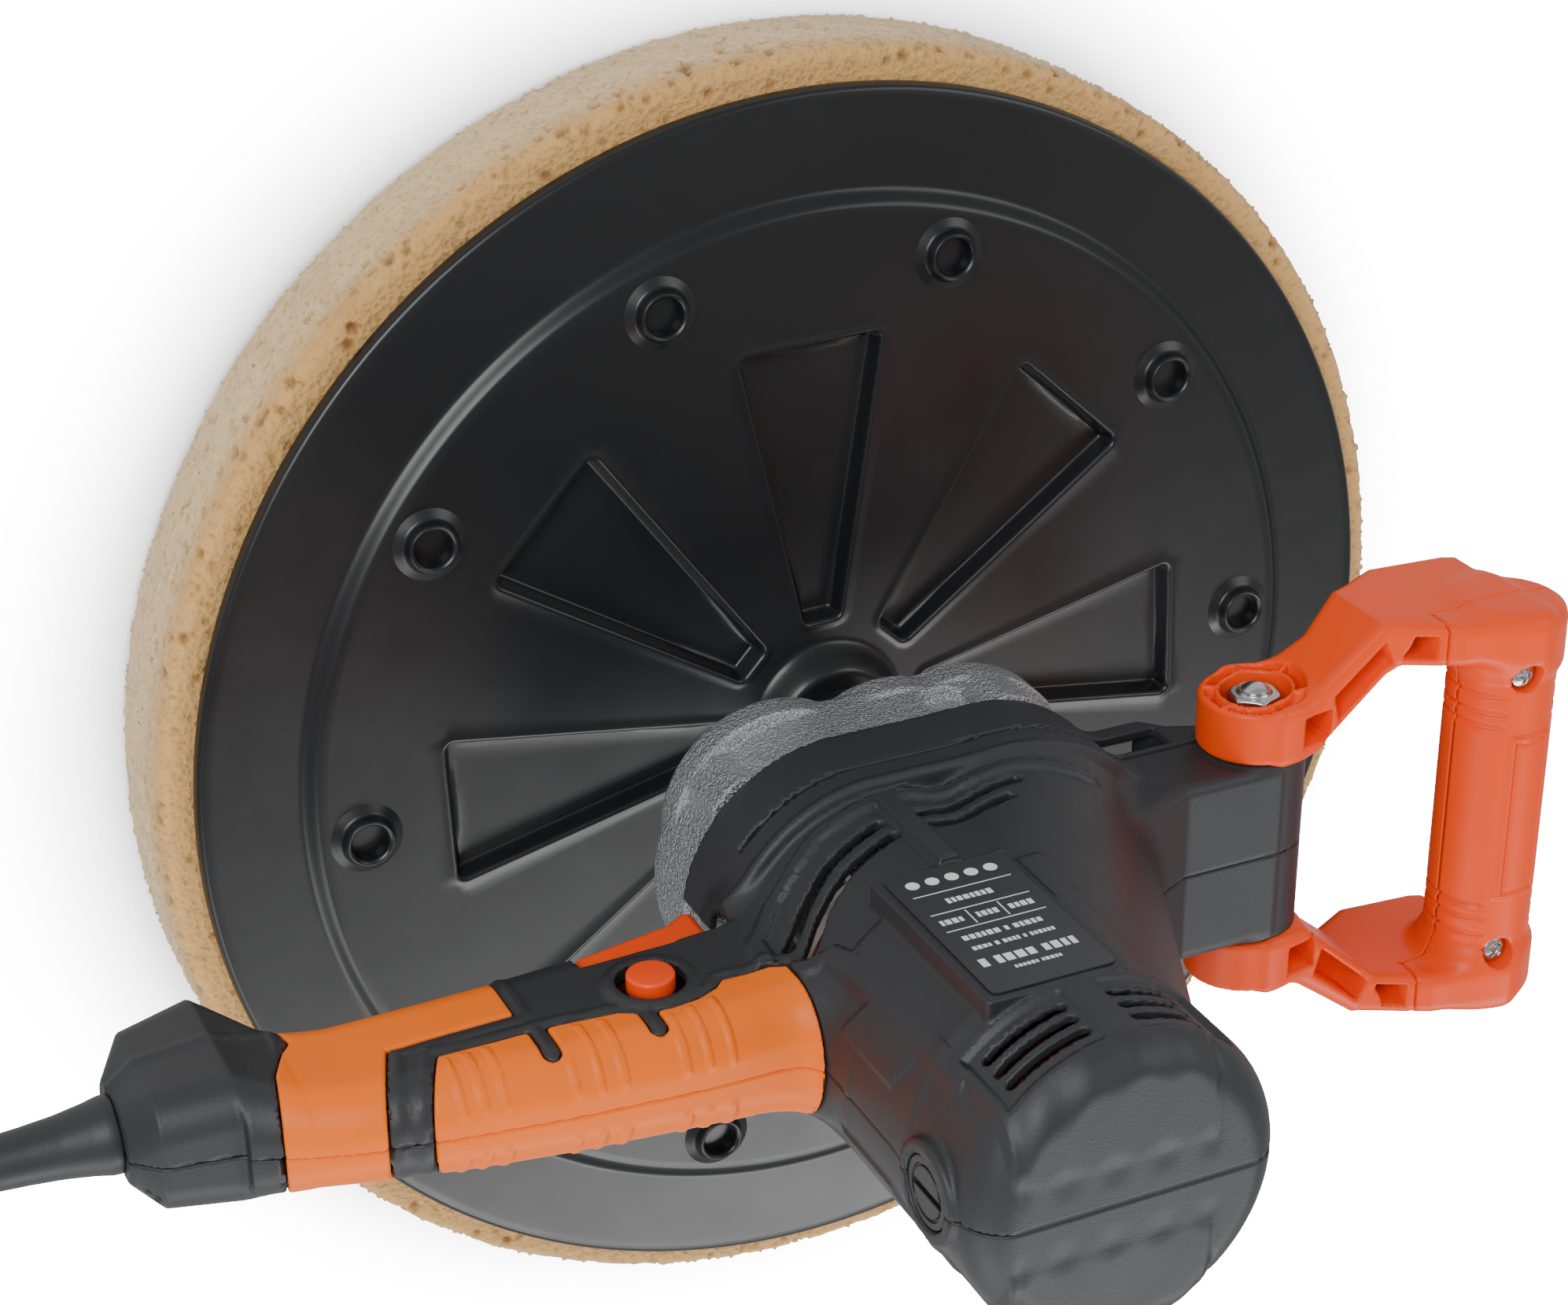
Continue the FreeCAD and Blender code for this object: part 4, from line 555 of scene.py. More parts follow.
plateFacts = {
    "bottom": 40.0, "rim": 44.0, "plateau": 47.5, "radius": 185.0, "stepOuter": 157.0, "stepInner": 152.0,
    "hubRadius": 20.0, "hubTop": 55.5, "bore": 12.0,
    "pockets": 8, "pocketInner": 31.0, "pocketOuter": 115.0, "pocketInnerHalf": 5.5,
    "pocketOuterHalf": 21.5, "pocketDepth": 5.5, "pocketTurn": 2.0,
    "bosses": 10, "bossCircle": 139.9, "bossTurn": 2.26,
}


def plateHeight(radius, angle):
    f = plateFacts
    height = f["rim"] + (f["plateau"] - f["rim"]) * (1 - step(radius, f["stepInner"], f["stepOuter"]))
    fall = np.clip((radius - (f["radius"] - 2.2)) / 2.2, 0, 1)
    height -= 2.2 * (1 - np.sqrt(np.maximum(0, 1 - fall ** 2)))
    hub = np.clip((radius - f["hubRadius"] + 3) / 7.5, 0, 1)
    rise = (f["hubTop"] - f["plateau"]) * (1 - step(hub, 0, 1))
    height += np.where(radius < 40, rise, 0)
    sector = 2 * math.pi / f["pockets"]
    turned = (angle - math.radians(f["pocketTurn"]) + sector / 2) % sector - sector / 2
    u, v = radius * np.cos(turned), np.abs(radius * np.sin(turned))
    middle = [(f["pocketInner"], -f["pocketInnerHalf"]), (f["pocketOuter"], -f["pocketOuterHalf"]),
              (f["pocketOuter"], f["pocketOuterHalf"]), (f["pocketInner"], f["pocketInnerHalf"])]
    easing = 2.2
    shrunk = [(middle[0][0] + easing, middle[0][1] + easing * 0.8),
              (middle[1][0] - easing, middle[1][1] + easing * 1.1),
              (middle[2][0] - easing, middle[2][1] - easing * 1.1),
              (middle[3][0] + easing, middle[3][1] - easing * 0.8)]
    away = outlineShape(u, v, shrunk) - easing
    lip = 0.35 * np.exp(-((away - 1.2) / 1.0) ** 2)
    drop = (1 - step(away, -1.9, 0.5)) * (f["pocketDepth"] - 0.4) + (1 - step(away, -6.0, 0.0)) * 0.4
    return height + lip - drop


f = plateFacts
near = 0.45
radii = [f["bore"]]
while radii[-1] < f["radius"] - 0.01:
    r = radii[-1]
    fine = min([abs(r - edge) for edge in (f["pocketInner"], f["pocketOuter"])])
    wide = 0.8 if 150 < r < 158.5 or r < 28 else 2.4
    if r > f["radius"] - 3:
        wide = 0.6
    if fine < 3.2:
        wide = near
    radii.append(min(r + wide * coarse, f["radius"]))
sector = 2 * math.pi / f["pockets"]
edgeAngle = math.atan2(f["pocketOuterHalf"], f["pocketOuter"])
fraction = np.concatenate([np.linspace(0, edgeAngle * 0.80, 7)[:-1],
                           np.linspace(edgeAngle * 0.80, edgeAngle * 1.10, 17),
                           np.linspace(edgeAngle * 1.10, sector / 2, 9)[1:]])
half = np.concatenate([-fraction[::-1], fraction[1:]])[:-1]
angles = np.concatenate([half + i * sector + math.radians(f["pocketTurn"]) for i in range(f["pockets"])])
gridR, gridA = np.meshgrid(np.array(radii), angles, indexing="ij")
top = np.stack([gridR * np.cos(gridA), gridR * np.sin(gridA), plateHeight(gridR, gridA)], -1)
under = top[[-1, 0]].copy()
under[..., 2] = f["bottom"]
rows = np.concatenate([top, under]).reshape(-1, 3)
around, count = len(angles), len(radii) + 2
lower = np.arange(count)[:, None] * around + np.arange(around)[None]
upper = np.roll(lower, -1, 0)
quads = np.stack([lower, upper, np.roll(upper, -1, 1), np.roll(lower, -1, 1)], -1).reshape(-1, 4)
plate = meshFrom("backingPlate", rows, quads, material=finishes["plate_plastic"])
plate.data.set_sharp_from_angle(angle=math.radians(60))
joined(plate, "plate_plastic", "disc", ["backing_plate"])

boss = turnedMesh("boss", [(0, 44.9), (1.9, 44.9)] + rounded(
    [(1.9, 45.0), (2.0, 46.9), (4.9, 47.1), (5.2, 51.0), (6.5, 51.95), (7.1, 50.6), (7.6, 48.8),
     (10.8, 47.3), (10.8, 46.2), (0, 44.6)], 0.7)[1:], sides=48)
bossAngles = [math.radians(f["bossTurn"] + 36 * i) for i in range(f["bosses"])]
ring = repeated("plateBosses", boss,
                [(f["bossCircle"] * math.cos(a), f["bossCircle"] * math.sin(a), 0) for a in bossAngles],
                [(0, 0, a) for a in bossAngles], "plate_plastic")
joined(ring, "plate_plastic", "disc")


# sponge

spongeFacts = {"radius": 194.2, "thick": 38.0, "inner": 150.0, "around": 1500, "pores": 5200, "seed": 41}


def valueNoise(a, b, seed, wrap=0):
    # smooth noise on a lattice; the first axis closes on itself after wrap cells
    rng = np.random.default_rng(seed)
    table = rng.random((512, 128)).astype(np.float32)
    ia, ib = np.floor(a).astype(int), np.floor(b).astype(int)
    fa, fb = a - ia, b - ib
    fa, fb = fa * fa * (3 - 2 * fa), fb * fb * (3 - 2 * fb)
    wrap = wrap or 512
    def at(i, j):
        return table[(i % wrap) % 512, j % 128]
    low = at(ia, ib) * (1 - fa) + at(ia + 1, ib) * fa
    high = at(ia, ib + 1) * (1 - fa) + at(ia + 1, ib + 1) * fa
    return low * (1 - fb) + high * fb


g = spongeFacts
around = int(g["around"] / coarse)
bend = 4.0
side = [(g["inner"], g["thick"])]
side += [(r, g["thick"]) for r in np.arange(g["inner"] + 14, g["radius"] - bend - 12, 7 * coarse)]
side += [(r, g["thick"]) for r in np.arange(g["radius"] - bend - 11, g["radius"] - bend, 1.0 * coarse)]
turns = np.linspace(0, math.pi / 2, 6)
side += [(g["radius"] - bend + bend * math.sin(t), g["thick"] - bend + bend * math.cos(t)) for t in turns]
side += [(g["radius"], z) for z in np.arange(g["thick"] - bend - 1.0, bend, -1.0 * coarse)]
side += [(g["radius"] - bend + bend * math.cos(t), bend - bend * math.sin(t)) for t in turns]
side += [(r, 0.0) for r in (184, 178, 168, 130, 80, 30)]
side = np.array(side, np.float32)
run = np.concatenate([[0], np.cumsum(np.hypot(*np.diff(side, axis=0).T))])
turnAt = np.linspace(0, 2 * math.pi, around, endpoint=False).astype(np.float32)
gridT, gridS = np.meshgrid(turnAt, run.astype(np.float32), indexing="ij")
ringLong = 2 * math.pi * g["radius"]
coat = np.zeros(gridT.shape, np.float32)
for seed, size, depth in ((3, 14.0, 0.5), (5, 5.0, 0.3), (7, 2.0, 0.4)):
    cells = round(ringLong / size)
    coat += depth * (valueNoise(gridT / (2 * math.pi) * cells, gridS / size + 7, seed, cells) - 0.5)
rng = np.random.default_rng(g["seed"])
edgeRun = run[np.argmin(np.abs(side[:, 0] - (g["radius"] - bend)))]
poreT = rng.random(g["pores"]) * 2 * math.pi
poreS = rng.random(g["pores"]) ** 1.15 * (run[-7] - edgeRun + 13) + edgeRun - 11
poreR = 0.42 + rng.gamma(1.5, 0.24, g["pores"])
bandShare = np.exp(-((poreS - edgeRun - 8) / 9) ** 2)
poreR *= 0.85 + 0.8 * bandShare * rng.random(g["pores"])
poreR = np.clip(poreR, 0.4, 2.0)
stepArc = ringLong / around
for t, s, r in zip(poreT, poreS, poreR):
    i0 = int(round(t * g["radius"] / stepArc))
    span = int(r / stepArc) + 2
    cols = np.arange(i0 - span, i0 + span + 1) % around
    rowsNear = np.nonzero(np.abs(run - s) < r + 0.6)[0]
    if not len(rowsNear):
        continue
    da = (np.arange(-span, span + 1) * stepArc)[:, None]
    ds = (run[rowsNear] - s)[None]
    hollow = np.clip(1 - (da * da + ds * ds) / (r * r), 0, 1)
    part = coat[np.ix_(cols, rowsNear)]
    coat[np.ix_(cols, rowsNear)] = np.minimum(part, part * 0.4 - np.sqrt(hollow) * r * 0.95)
normalR = np.gradient(side[:, 1], run)
normalZ = -np.gradient(side[:, 0], run)
length = np.maximum(np.hypot(normalR, normalZ), 1e-6)
normalR, normalZ = -normalR / length, -normalZ / length
limit = np.where(side[:, 1] > g["thick"] - 0.01, -0.2, np.where(side[:, 1] < 0.01, 0.0, 0.75))
fuzz = np.where(rng.random(coat.shape) < 0.10, rng.random(coat.shape) * 1.0, 0).astype(np.float32)
move = np.minimum(coat + fuzz * (side[:, 1] > 0.5), limit[None])
move *= ((side[:, 0] > 176) & (side[:, 1] > 0.2) | (side[:, 0] > 189))[None]
outR = side[None, :, 0] + normalR[None] * move
outZ = np.clip(side[None, :, 1] + normalZ[None] * move, 0, g["thick"] - 0.05)
spots = np.stack([outR * np.cos(gridT), outR * np.sin(gridT), outZ], -1).reshape(-1, 3)
columns = len(side)
lower = np.arange(around)[:, None] * columns + np.arange(columns - 1)[None]
upper = np.roll(np.arange(around), -1)[:, None] * columns + np.arange(columns - 1)[None]
quads = np.stack([lower, lower + 1, upper + 1, upper], -1).reshape(-1, 4)
spongeMesh = meshFrom("spongePad", spots, quads[:, ::-1])
shape = bmesh.new()
shape.from_mesh(spongeMesh.data)
for level in (0.0, g["thick"] - 0.05):
    rim = [e for e in shape.edges if e.is_boundary and abs(e.verts[0].co.z - level * mm) < 2e-4]
    if rim:
        bmesh.ops.holes_fill(shape, edges=rim)
bmesh.ops.recalc_face_normals(shape, faces=shape.faces)
shape.to_mesh(spongeMesh.data)
shape.free()
# pore depth per point, used by the foam colour to paint shade into the pits
depthAt = spongeMesh.data.attributes.new("pore", "FLOAT", "POINT")
depthValue = np.clip(-move / 2.0, 0, 1).ravel().astype(np.float32)
padding = np.zeros(len(spongeMesh.data.vertices), np.float32)
padding[:len(depthValue)] = depthValue
depthAt.data.foreach_set("value", padding)

# open cells: dry and dull, light walls; the pits and small specks carry painted shade, and the colour turns
# a deeper tan towards the top face
foam = bpy.data.materials.new("tan polyurethane foam, open pores")
foam.use_nodes = True
tree = foam.node_tree
shader = tree.nodes["Principled BSDF"]
place = addNode(tree, "ShaderNodeTexCoord")
parts = addNode(tree, "ShaderNodeSeparateXYZ", {"Vector": place.outputs["Object"]})
pore = addNode(tree, "ShaderNodeAttribute", attribute_name="pore")
patches = addNode(tree, "ShaderNodeTexNoise", {"Vector": place.outputs["Object"], "Scale": 130.0,
                                               "Detail": 4.0})
spotsNoise = addNode(tree, "ShaderNodeTexVoronoi", {"Vector": place.outputs["Object"], "Scale": 520.0})
speckShadeMask = addNode(tree, "ShaderNodeMapRange", {"Value": spotsNoise.outputs["Distance"], "From Min": 0.12,
                                            "From Max": 0.42, "To Min": 1.0, "To Max": 0.0})
upHigh = addNode(tree, "ShaderNodeMapRange", {"Value": parts.outputs["Z"], "From Min": 0.024,
                                              "From Max": 0.036})
base = addNode(tree, "ShaderNodeMix", {0: patches.outputs["Fac"], 6: linear("#EBC286"),
                                       7: linear("#FFE0AC")}, data_type="RGBA")
band = addNode(tree, "ShaderNodeMix", {0: upHigh.outputs[0], 6: base.outputs[2], 7: linear("#E2B26C")},
               data_type="RGBA")
# the small specks are painted shade in tiny pores: darker tan near the spot pattern's centres, where the
# bump also dents the surface
paintedSpeckShade = addNode(tree, "ShaderNodeMath", {0: speckShadeMask.outputs[0], 1: 0.42}, operation="MULTIPLY")
speckShaded = addNode(tree, "ShaderNodeMix", {0: paintedSpeckShade.outputs[0], 6: band.outputs[2], 7: linear("#C08C4A")},
                  data_type="RGBA")
# the pits are darkened by their depth: painted shade in the pores
poreShaded = addNode(tree, "ShaderNodeMix", {0: pore.outputs["Fac"], 6: speckShaded.outputs[2], 7: linear("#8E5E2A")},
               data_type="RGBA")
tree.links.new(poreShaded.outputs[2], shader.inputs["Base Color"])
shader.inputs["Roughness"].default_value = 0.92
shader.inputs["Sheen Weight"].default_value = 0.25
shader.inputs["Subsurface Weight"].default_value = 0.25
shader.inputs["Subsurface Scale"].default_value = 0.004
noise = addNode(tree, "ShaderNodeTexNoise", {"Vector": place.outputs["Object"], "Scale": 900.0,
                                             "Detail": 3.0})
bumpA = addNode(tree, "ShaderNodeBump", {"Height": noise.outputs["Fac"], "Distance": 0.0006})
bumpB = addNode(tree, "ShaderNodeBump", {"Height": spotsNoise.outputs["Distance"], "Distance": 0.0007,
                                         "Normal": bumpA.outputs[0]})
tree.links.new(bumpB.outputs[0], shader.inputs["Normal"])
finishes["sponge"] = foam
spongeMesh.data.materials.append(foam)
joined(spongeMesh, "sponge", "disc", ["sponge_pad"])
print("disc ready")


# centres that several pieces share, in millimetres: x and z, or one height
places = {
    "motor": -40, "brush": 265, "hinge": (72, 158), "grip": (143, 170), "button": (-111, 180),
    "pivot": (-127, 161), "cord": 163, "seam": 150.2,
}
hingeX, hingeZ = places["hinge"]
buttonX, buttonZ = places["button"]


# handle and motor housing

handleFacts = {
    # x, underside z, back z, half width
    "grip": [(-212, 141, 188, 14.5), (-207, 145, 190, 14.0), (-199, 151, 193, 13.0),
             (-188, 154.5, 196.5, 12.8),
             (-165, 155.5, 200.5, 13.8), (-140, 155.5, 204, 14.4), (-111, 154.5, 206.5, 15.0),
             (-88, 151, 207, 16.5), (-62, 146, 214, 22.0), (-40, 142, 218, 26.0)],
    "cap": [(-238, 148, 177, 10.0), (-231.5, 138.5, 182.5, 15.3), (-213.5, 134, 185, 17.0),
            (-208, 139.5, 187.5, 15.0), (-199, 151, 192, 12.6)],
    "lobe": [(-231, 156), (-228.5, 137), (-221, 128.4), (-211, 128.6), (-205, 138), (-197, 153),
             (-205, 162)],
    "palmZone": [(-167, 185.6), (-138, 186.5), (-123, 188.2), (-118, 191), (-111, 192.3), (-104, 192),
                 (-98.5, 190), (-96, 187.6), (-84, 189), (-80.5, 192), (-80, 221), (-174.5, 221),
                 (-173, 199)],
    "bandZone": [(-197, 150), (-145, 150), (-145, 177.5), (-176.5, 177.5), (-183.5, 198), (-184, 221),
                 (-208, 221), (-206.5, 194), (-203, 177), (-199, 168), (-196, 164), (-197, 158)],
    # x, top end, half width
    "tabs": [(-142.5, 195.8, 2.2), (-116.5, 197.8, 2.2)],
    "ribs": [-166, -161, -156, -139.5, -133.8, -128, -113, -107.3, -101.5],
}


def profileOf(stations, soften):
    xs = np.arange(stations[0][0] - 20, stations[-1][0] + 20.01, 0.5)
    at = [s[0] for s in stations]
    width = max(1, int(soften / 0.5))
    kernel = np.hanning(width + 2)[1:-1]
    kernel /= kernel.sum()
    lines = []
    for i in (1, 2, 3):
        line = np.interp(xs, at, [s[i] for s in stations])
        padded = np.pad(line, (width // 2, width - 1 - width // 2), mode="edge")
        lines.append(np.convolve(padded, kernel, mode="valid"))
    return xs, lines


gripProfile = profileOf(handleFacts["grip"], 14)
capProfile = profileOf(handleFacts["cap"], 1.2)


def sectionShape(p, profile, bend, low, high):
    xs, (under, back, half) = profile
    lowZ, highZ, wide = [np.interp(p[0], xs, line).astype(np.float32) for line in (under, back, half)]
    bend = np.minimum(bend, np.minimum((highZ - lowZ) / 2 - 1, wide - 0.5))
    a = np.abs(p[1]) - wide + bend
    b = np.abs(p[2] - (lowZ + highZ) / 2) - (highZ - lowZ) / 2 + bend
    across = np.hypot(np.maximum(a, 0), np.maximum(b, 0)) + np.minimum(np.maximum(a, b), 0) - bend
    return softMax(across, np.abs(p[0] - (low + high) / 2) - (high - low) / 2, 1.0)


def handleForm(p):
    x, y, z = p
    grip = sectionShape(p, gripProfile, 11.0, -213, -45)
    cap = sectionShape(p, capProfile, 10.0, -238, -200)
    lobe = slabShape(x, z, y, handleFacts["lobe"], -9.5, 9.5, 4.0)
    return softMin(softMin(grip, cap, 1.5), lobe, 2.0)


housingFacts = {
    "barrelRadius": 40.0, "top": 288, "topLimit": 287.9, "topBend": 12.0,
    "skirtRadius": 43.0, "skirtLow": 110, "skirtTop": 160.5,
    "blend": 7.0, "wall": 3.0,
    "arm": [(-15, 118), (40, 118), (58, 137.5), (72, 143.5), (72, 172.5), (44, 172.5), (30, 179),
            (-15, 200)],
    "armHalf": 26.5, "armWindow": [(31, 138.5), (53.5, 138.5), (53.5, 147.5), (31, 147.5)],
    "hingeRadius": 14.5, "hingeHalf": 27, "hingeBore": 4.05,
    # centre and half size
    "labelPad": ((-44, 25.3, 228.5), (18.2, 15.2, 29.2)),
    "labelSeat": ((-44, 50.5, 228.5), (17.6, 10.0, 28.6)),
    "buttonRing": 11.6, "buttonBore": 6.3, "buttonDish": 8.6,
    "capBoss": 12.6, "capBore": 9.1,
    "skinDeep": 1.55, "skinRecess": 1.65, "skinRaised": 0.3, "ribRaised": 0.45,
    "beadHeight": 0.4, "beadAway": 2.5,
    "ventHalf": 1.55, "topVentHalf": 1.4, "topVentStart": 264, "topVentPitch": 5.3,
    "screwBoss": 5.6, "screwSocket": 3.5,
}


def bodyForm(p):
    x, y, z = p
    h = housingFacts
    barrel = rodShape(p, 2, (places["motor"], 0), h["barrelRadius"], 100, h["top"], h["topBend"])
    skirt = obroundShape(p, places["motor"], h["skirtRadius"], h["skirtLow"], h["skirtTop"], 1.6)
    t = np.clip((z - 155) / 97, 0, 1)
    slope = (np.hypot(x + 40 * t, y) - (42.6 - 3.2 * t)) * 0.924
    shoulder = softMax(slope, np.abs(z - 190) - 62, 2.0)
    arm = slabShape(x, z, y, h["arm"], -h["armHalf"], h["armHalf"], 3.0)
    hinge = rodShape(p, 1, places["hinge"], h["hingeRadius"], -h["hingeHalf"], h["hingeHalf"], 1.0)
    form = softMin(softMin(barrel, skirt, 2.0), shoulder, 3.0)
    return softMin(form, softMin(arm, hinge, 1.5), 3.5)


def zoneShape(p):
    x, z = p[0], p[2]
    palm = outlineShape(x, z, handleFacts["palmZone"])
    for at, top, half in handleFacts["tabs"]:
        palm = softMax(palm, -trackShape(x, z, [(at, 150), (at, top)], half), 0.8)
    band = outlineShape(x, z, handleFacts["bandZone"])
    return np.minimum(palm, band)


ventTracks = [
    [(-77.5, 187), (-71, 181.5), (-62, 177), (-47, 173.6)],
    [(-75, 193.5), (-69, 188), (-60, 183.6), (-46, 180.2)],
    [(-35.5, 173.2), (-22, 172.2), (-8, 171.8)], [(-34.5, 179.6), (-24, 178.8), (-13, 178.4)],
]
topVents = [(-65, -47.5), (-34.5, -19)]
frameTrack = [(14, 172), (-6, 166), (-34, 163.8), (-60, 165.5), (-75, 171), (-83, 179), (-84.5, 190),
              (-79, 197), (-73.5, 200.5), (-71.5, 210), (-71.5, 262)]
screwsAt = [(-222, 149, -12), (-178, 189, -9.5), (-146, 166, -10), (-92, 199.5, -12), (44, 158, -20)]


def reliefOf(p):
    x, y, z = p
    ay = np.abs(y)
    outer = step(ay, 10, 16)
    lift = 1.0 * step(x, -72.2, -70.8) * (1 - step(x, -20.6, -19.4)) * step(z, 205, 207) * outer
    frame = trackShape(x, z, frameTrack, 2.3)
    lift = np.maximum(lift, 1.25 * (1 - step(frame, -0.9, 0.6)) * outer)
    rib = np.maximum(np.abs(x + 41) - 2.9, np.abs(z - 183.5) - 20.0)
    lift = np.maximum(lift, 2.7 * (1 - step(rib, -0.9, 0.5)) * step(ay, 25, 28))
    collar = np.abs(z - 159.0) - 1.2
    lift = np.maximum(lift, 0.5 * (1 - step(collar, -0.6, 0.8)) * step(-x, -12, 4))
    turn = np.degrees(np.arctan2(ay, x + 40))
    flank = np.maximum(np.abs(turn - 152) - 9, np.abs(z - 232 + (turn - 152) * 0.35) - 13)
    lift = np.maximum(lift, 0.9 * (1 - step(flank, -1.2, 0.6)))
    basin = np.maximum(np.abs(x + 41) - 28.5, np.abs(z - 269.6) - 10.5)
    lift -= 1.5 * (1 - step(basin, -1.4, 0.6)) * outer * step(np.abs(x + 41), 3.6, 4.8)
    flutes = 0.55 * (0.5 + 0.5 * np.cos(2 * math.pi * (x + 46) / 12.5))
    lift -= flutes * step(z, 279, 284) * (1 - step(np.abs(x + 44), 24, 27)) * step(ay, 4, 10)
    return lift


def housingForm(p):
    x, y, z = p
    h = housingFacts
    ay = np.abs(y)
    base = softMin(bodyForm(p), handleForm(p), h["blend"])
    zone = zoneShape(p)
    bead = h["beadHeight"] * (1 - step(np.abs(zone - h["beadAway"]), 0.5, 1.9))
    bead = bead * (1 - step(x, -81, -77)) * step(x, -201, -199)
    pad = boxShape(p, *h["labelPad"], 0.8)
    ring = rodShape(p, 1, places["button"], h["buttonRing"], 0, 16.2, 1.6)
    bosses = rodShape(p, 0, (0, places["brush"]), h["capBoss"], -81.6, 1.6, 1.3)
    form = softMin(softMin(base - reliefOf(p) - bead, pad, 0.8), softMin(ring, bosses, 0.5), 1.2)
    form = softMax(form, -boxShape(p, *h["labelSeat"], 0.4), 0.4)
    armWindow = outlineShape(x, z, h["armWindow"])
    form = softMax(form, -softMax(armWindow, 21.0 - ay, 0.6), 0.6)
    form = softMax(form, -softMax(np.abs(z - places["seam"]) - 0.5, 26.2 - ay, 0.3), 0.3)
    form = softMax(form, -np.maximum(zone - 0.15, -base - h["skinRecess"]), 0.25)
    form = softMax(form, -(base + h["wall"]), 0.8)
    vents = np.full(x.shape, 99.0, np.float32)
    for track in ventTracks:
        vents = np.minimum(vents, trackShape(x, z, track, h["ventHalf"]))
    for start, end in topVents:
        for level in (0, 1, 2):
            at = h["topVentStart"] + level * h["topVentPitch"]
            vents = np.minimum(vents, trackShape(x, z, [(start, at), (end, at)], h["topVentHalf"]))
    form = softMax(form, -softMax(vents, 14 - ay, 0.5), 0.6)
    form = softMax(softMax(form, 133.0 - z, 0.6), z - h["topLimit"], 0.6)
    cuts = rodShape(p, 0, (0, places["brush"]), h["capBore"], -90, 20)
    cuts = np.minimum(cuts, rodShape(p, 1, places["hinge"], h["hingeBore"], -40, 40))
    cuts = np.minimum(cuts, rodShape(p, 1, places["button"], h["buttonBore"], 8, 30))
    cuts = np.minimum(cuts, rodShape(p, 1, places["button"], h["buttonDish"], 12.2, 30, 0.8))
    cuts = np.minimum(cuts, rodShape(p, 0, (0, places["cord"]), 6.05, -260, -226))
    cuts = np.minimum(cuts, boxShape(p, (-107, 0, 147), (26.5, 5.8, 17)))
    cuts = np.minimum(cuts, boxShape(p, (-126, 0, 162), (8, 5.8, 10)))
    cuts = np.minimum(cuts, boxShape(p, (-103.15, 0, 148), (20.15, 40, 17.7), 1.0))
    return softMax(form, -cuts, 0.5)


def frontForm(p):
    return softMax(housingForm(p), -p[1], 0.5)


def rearForm(p):
    form = housingForm(p)
    sockets = np.full(p[0].shape, 99.0, np.float32)
    for x, z, rest in screwsAt:
        sockets = np.minimum(sockets, rodShape(p, 1, (x, z), housingFacts["screwSocket"], -60, rest, 0.3))
        boss = softMax(rodShape(p, 1, (x, z), housingFacts["screwBoss"], -60, rest + 3.0),
                       softMin(bodyForm(p), handleForm(p), housingFacts["blend"]))
        form = np.minimum(form, boss)
    form = softMax(form, -sockets, 0.3)
    return softMax(form, p[1], 0.5)


moulded("housingFront", frontForm, (-239, -1, 132), (88, 46, 290), 1.15, "housing_plastic", "housing",
        ["housing_front"])
moulded("housingRear", rearForm, (-239, -46, 132), (88, 1, 290), 1.55, "housing_plastic", "housing",
        ["housing_rear"])


def skinForm(p):
    x, y, z = p
    h = housingFacts
    base = softMin(bodyForm(p), handleForm(p), housingFacts["blend"])
    zone = zoneShape(p)
    ribs = np.zeros(x.shape, np.float32)
    for at in handleFacts["ribs"]:
        ribs = np.maximum(ribs, h["ribRaised"] * (1 - step(np.abs(x - at), 0.5, 1.3)))
    ribs *= step(-zone, 1.6, 2.8) * (1 - step(x, -99, -97)) * step(z, 186, 188) * step(np.abs(y), 4.0, 7.0)
    return softMax(softMax(base - h["skinRaised"] - ribs, -(base + h["skinDeep"]), 0.3), zone + 0.12, 0.9)


def skinRear(p):
    form = skinForm(p)
    for x, z, rest in screwsAt:
        form = softMax(form, -rodShape(p, 1, (x, z), 3.9, -60, 0), 0.3)
    return softMax(form, p[1] + 0.05, 0.4)


moulded("gripSkinFront", lambda p: softMax(skinForm(p), -p[1] + 0.05, 0.4), (-211, -1, 147),
        (-72, 26, 216), 0.75, "grip_rubber", "housing", ["grip_skin_front"])
moulded("gripSkinRear", skinRear, (-211, -26, 147), (-72, 1, 216), 1.0, "grip_rubber", "housing",
        ["grip_skin_rear"])
print("housing ready")


# gear case

caseFacts = {
    "neck": [(0, 66), (15, 66), (15.8, 69), (20, 76), (27, 95), (33, 108), (33, 114), (0, 114)],
    "lugs": [(-65.4, 28.2, 8.2), (13.0, 35.7, 7.6), (-65.4, -28.2, 8.2), (13.0, -35.7, 7.6)],
    "arcs": [(-47, 13, 31.0), (-14, 11.5, 31.5), (6, 8, 34.5)],
}


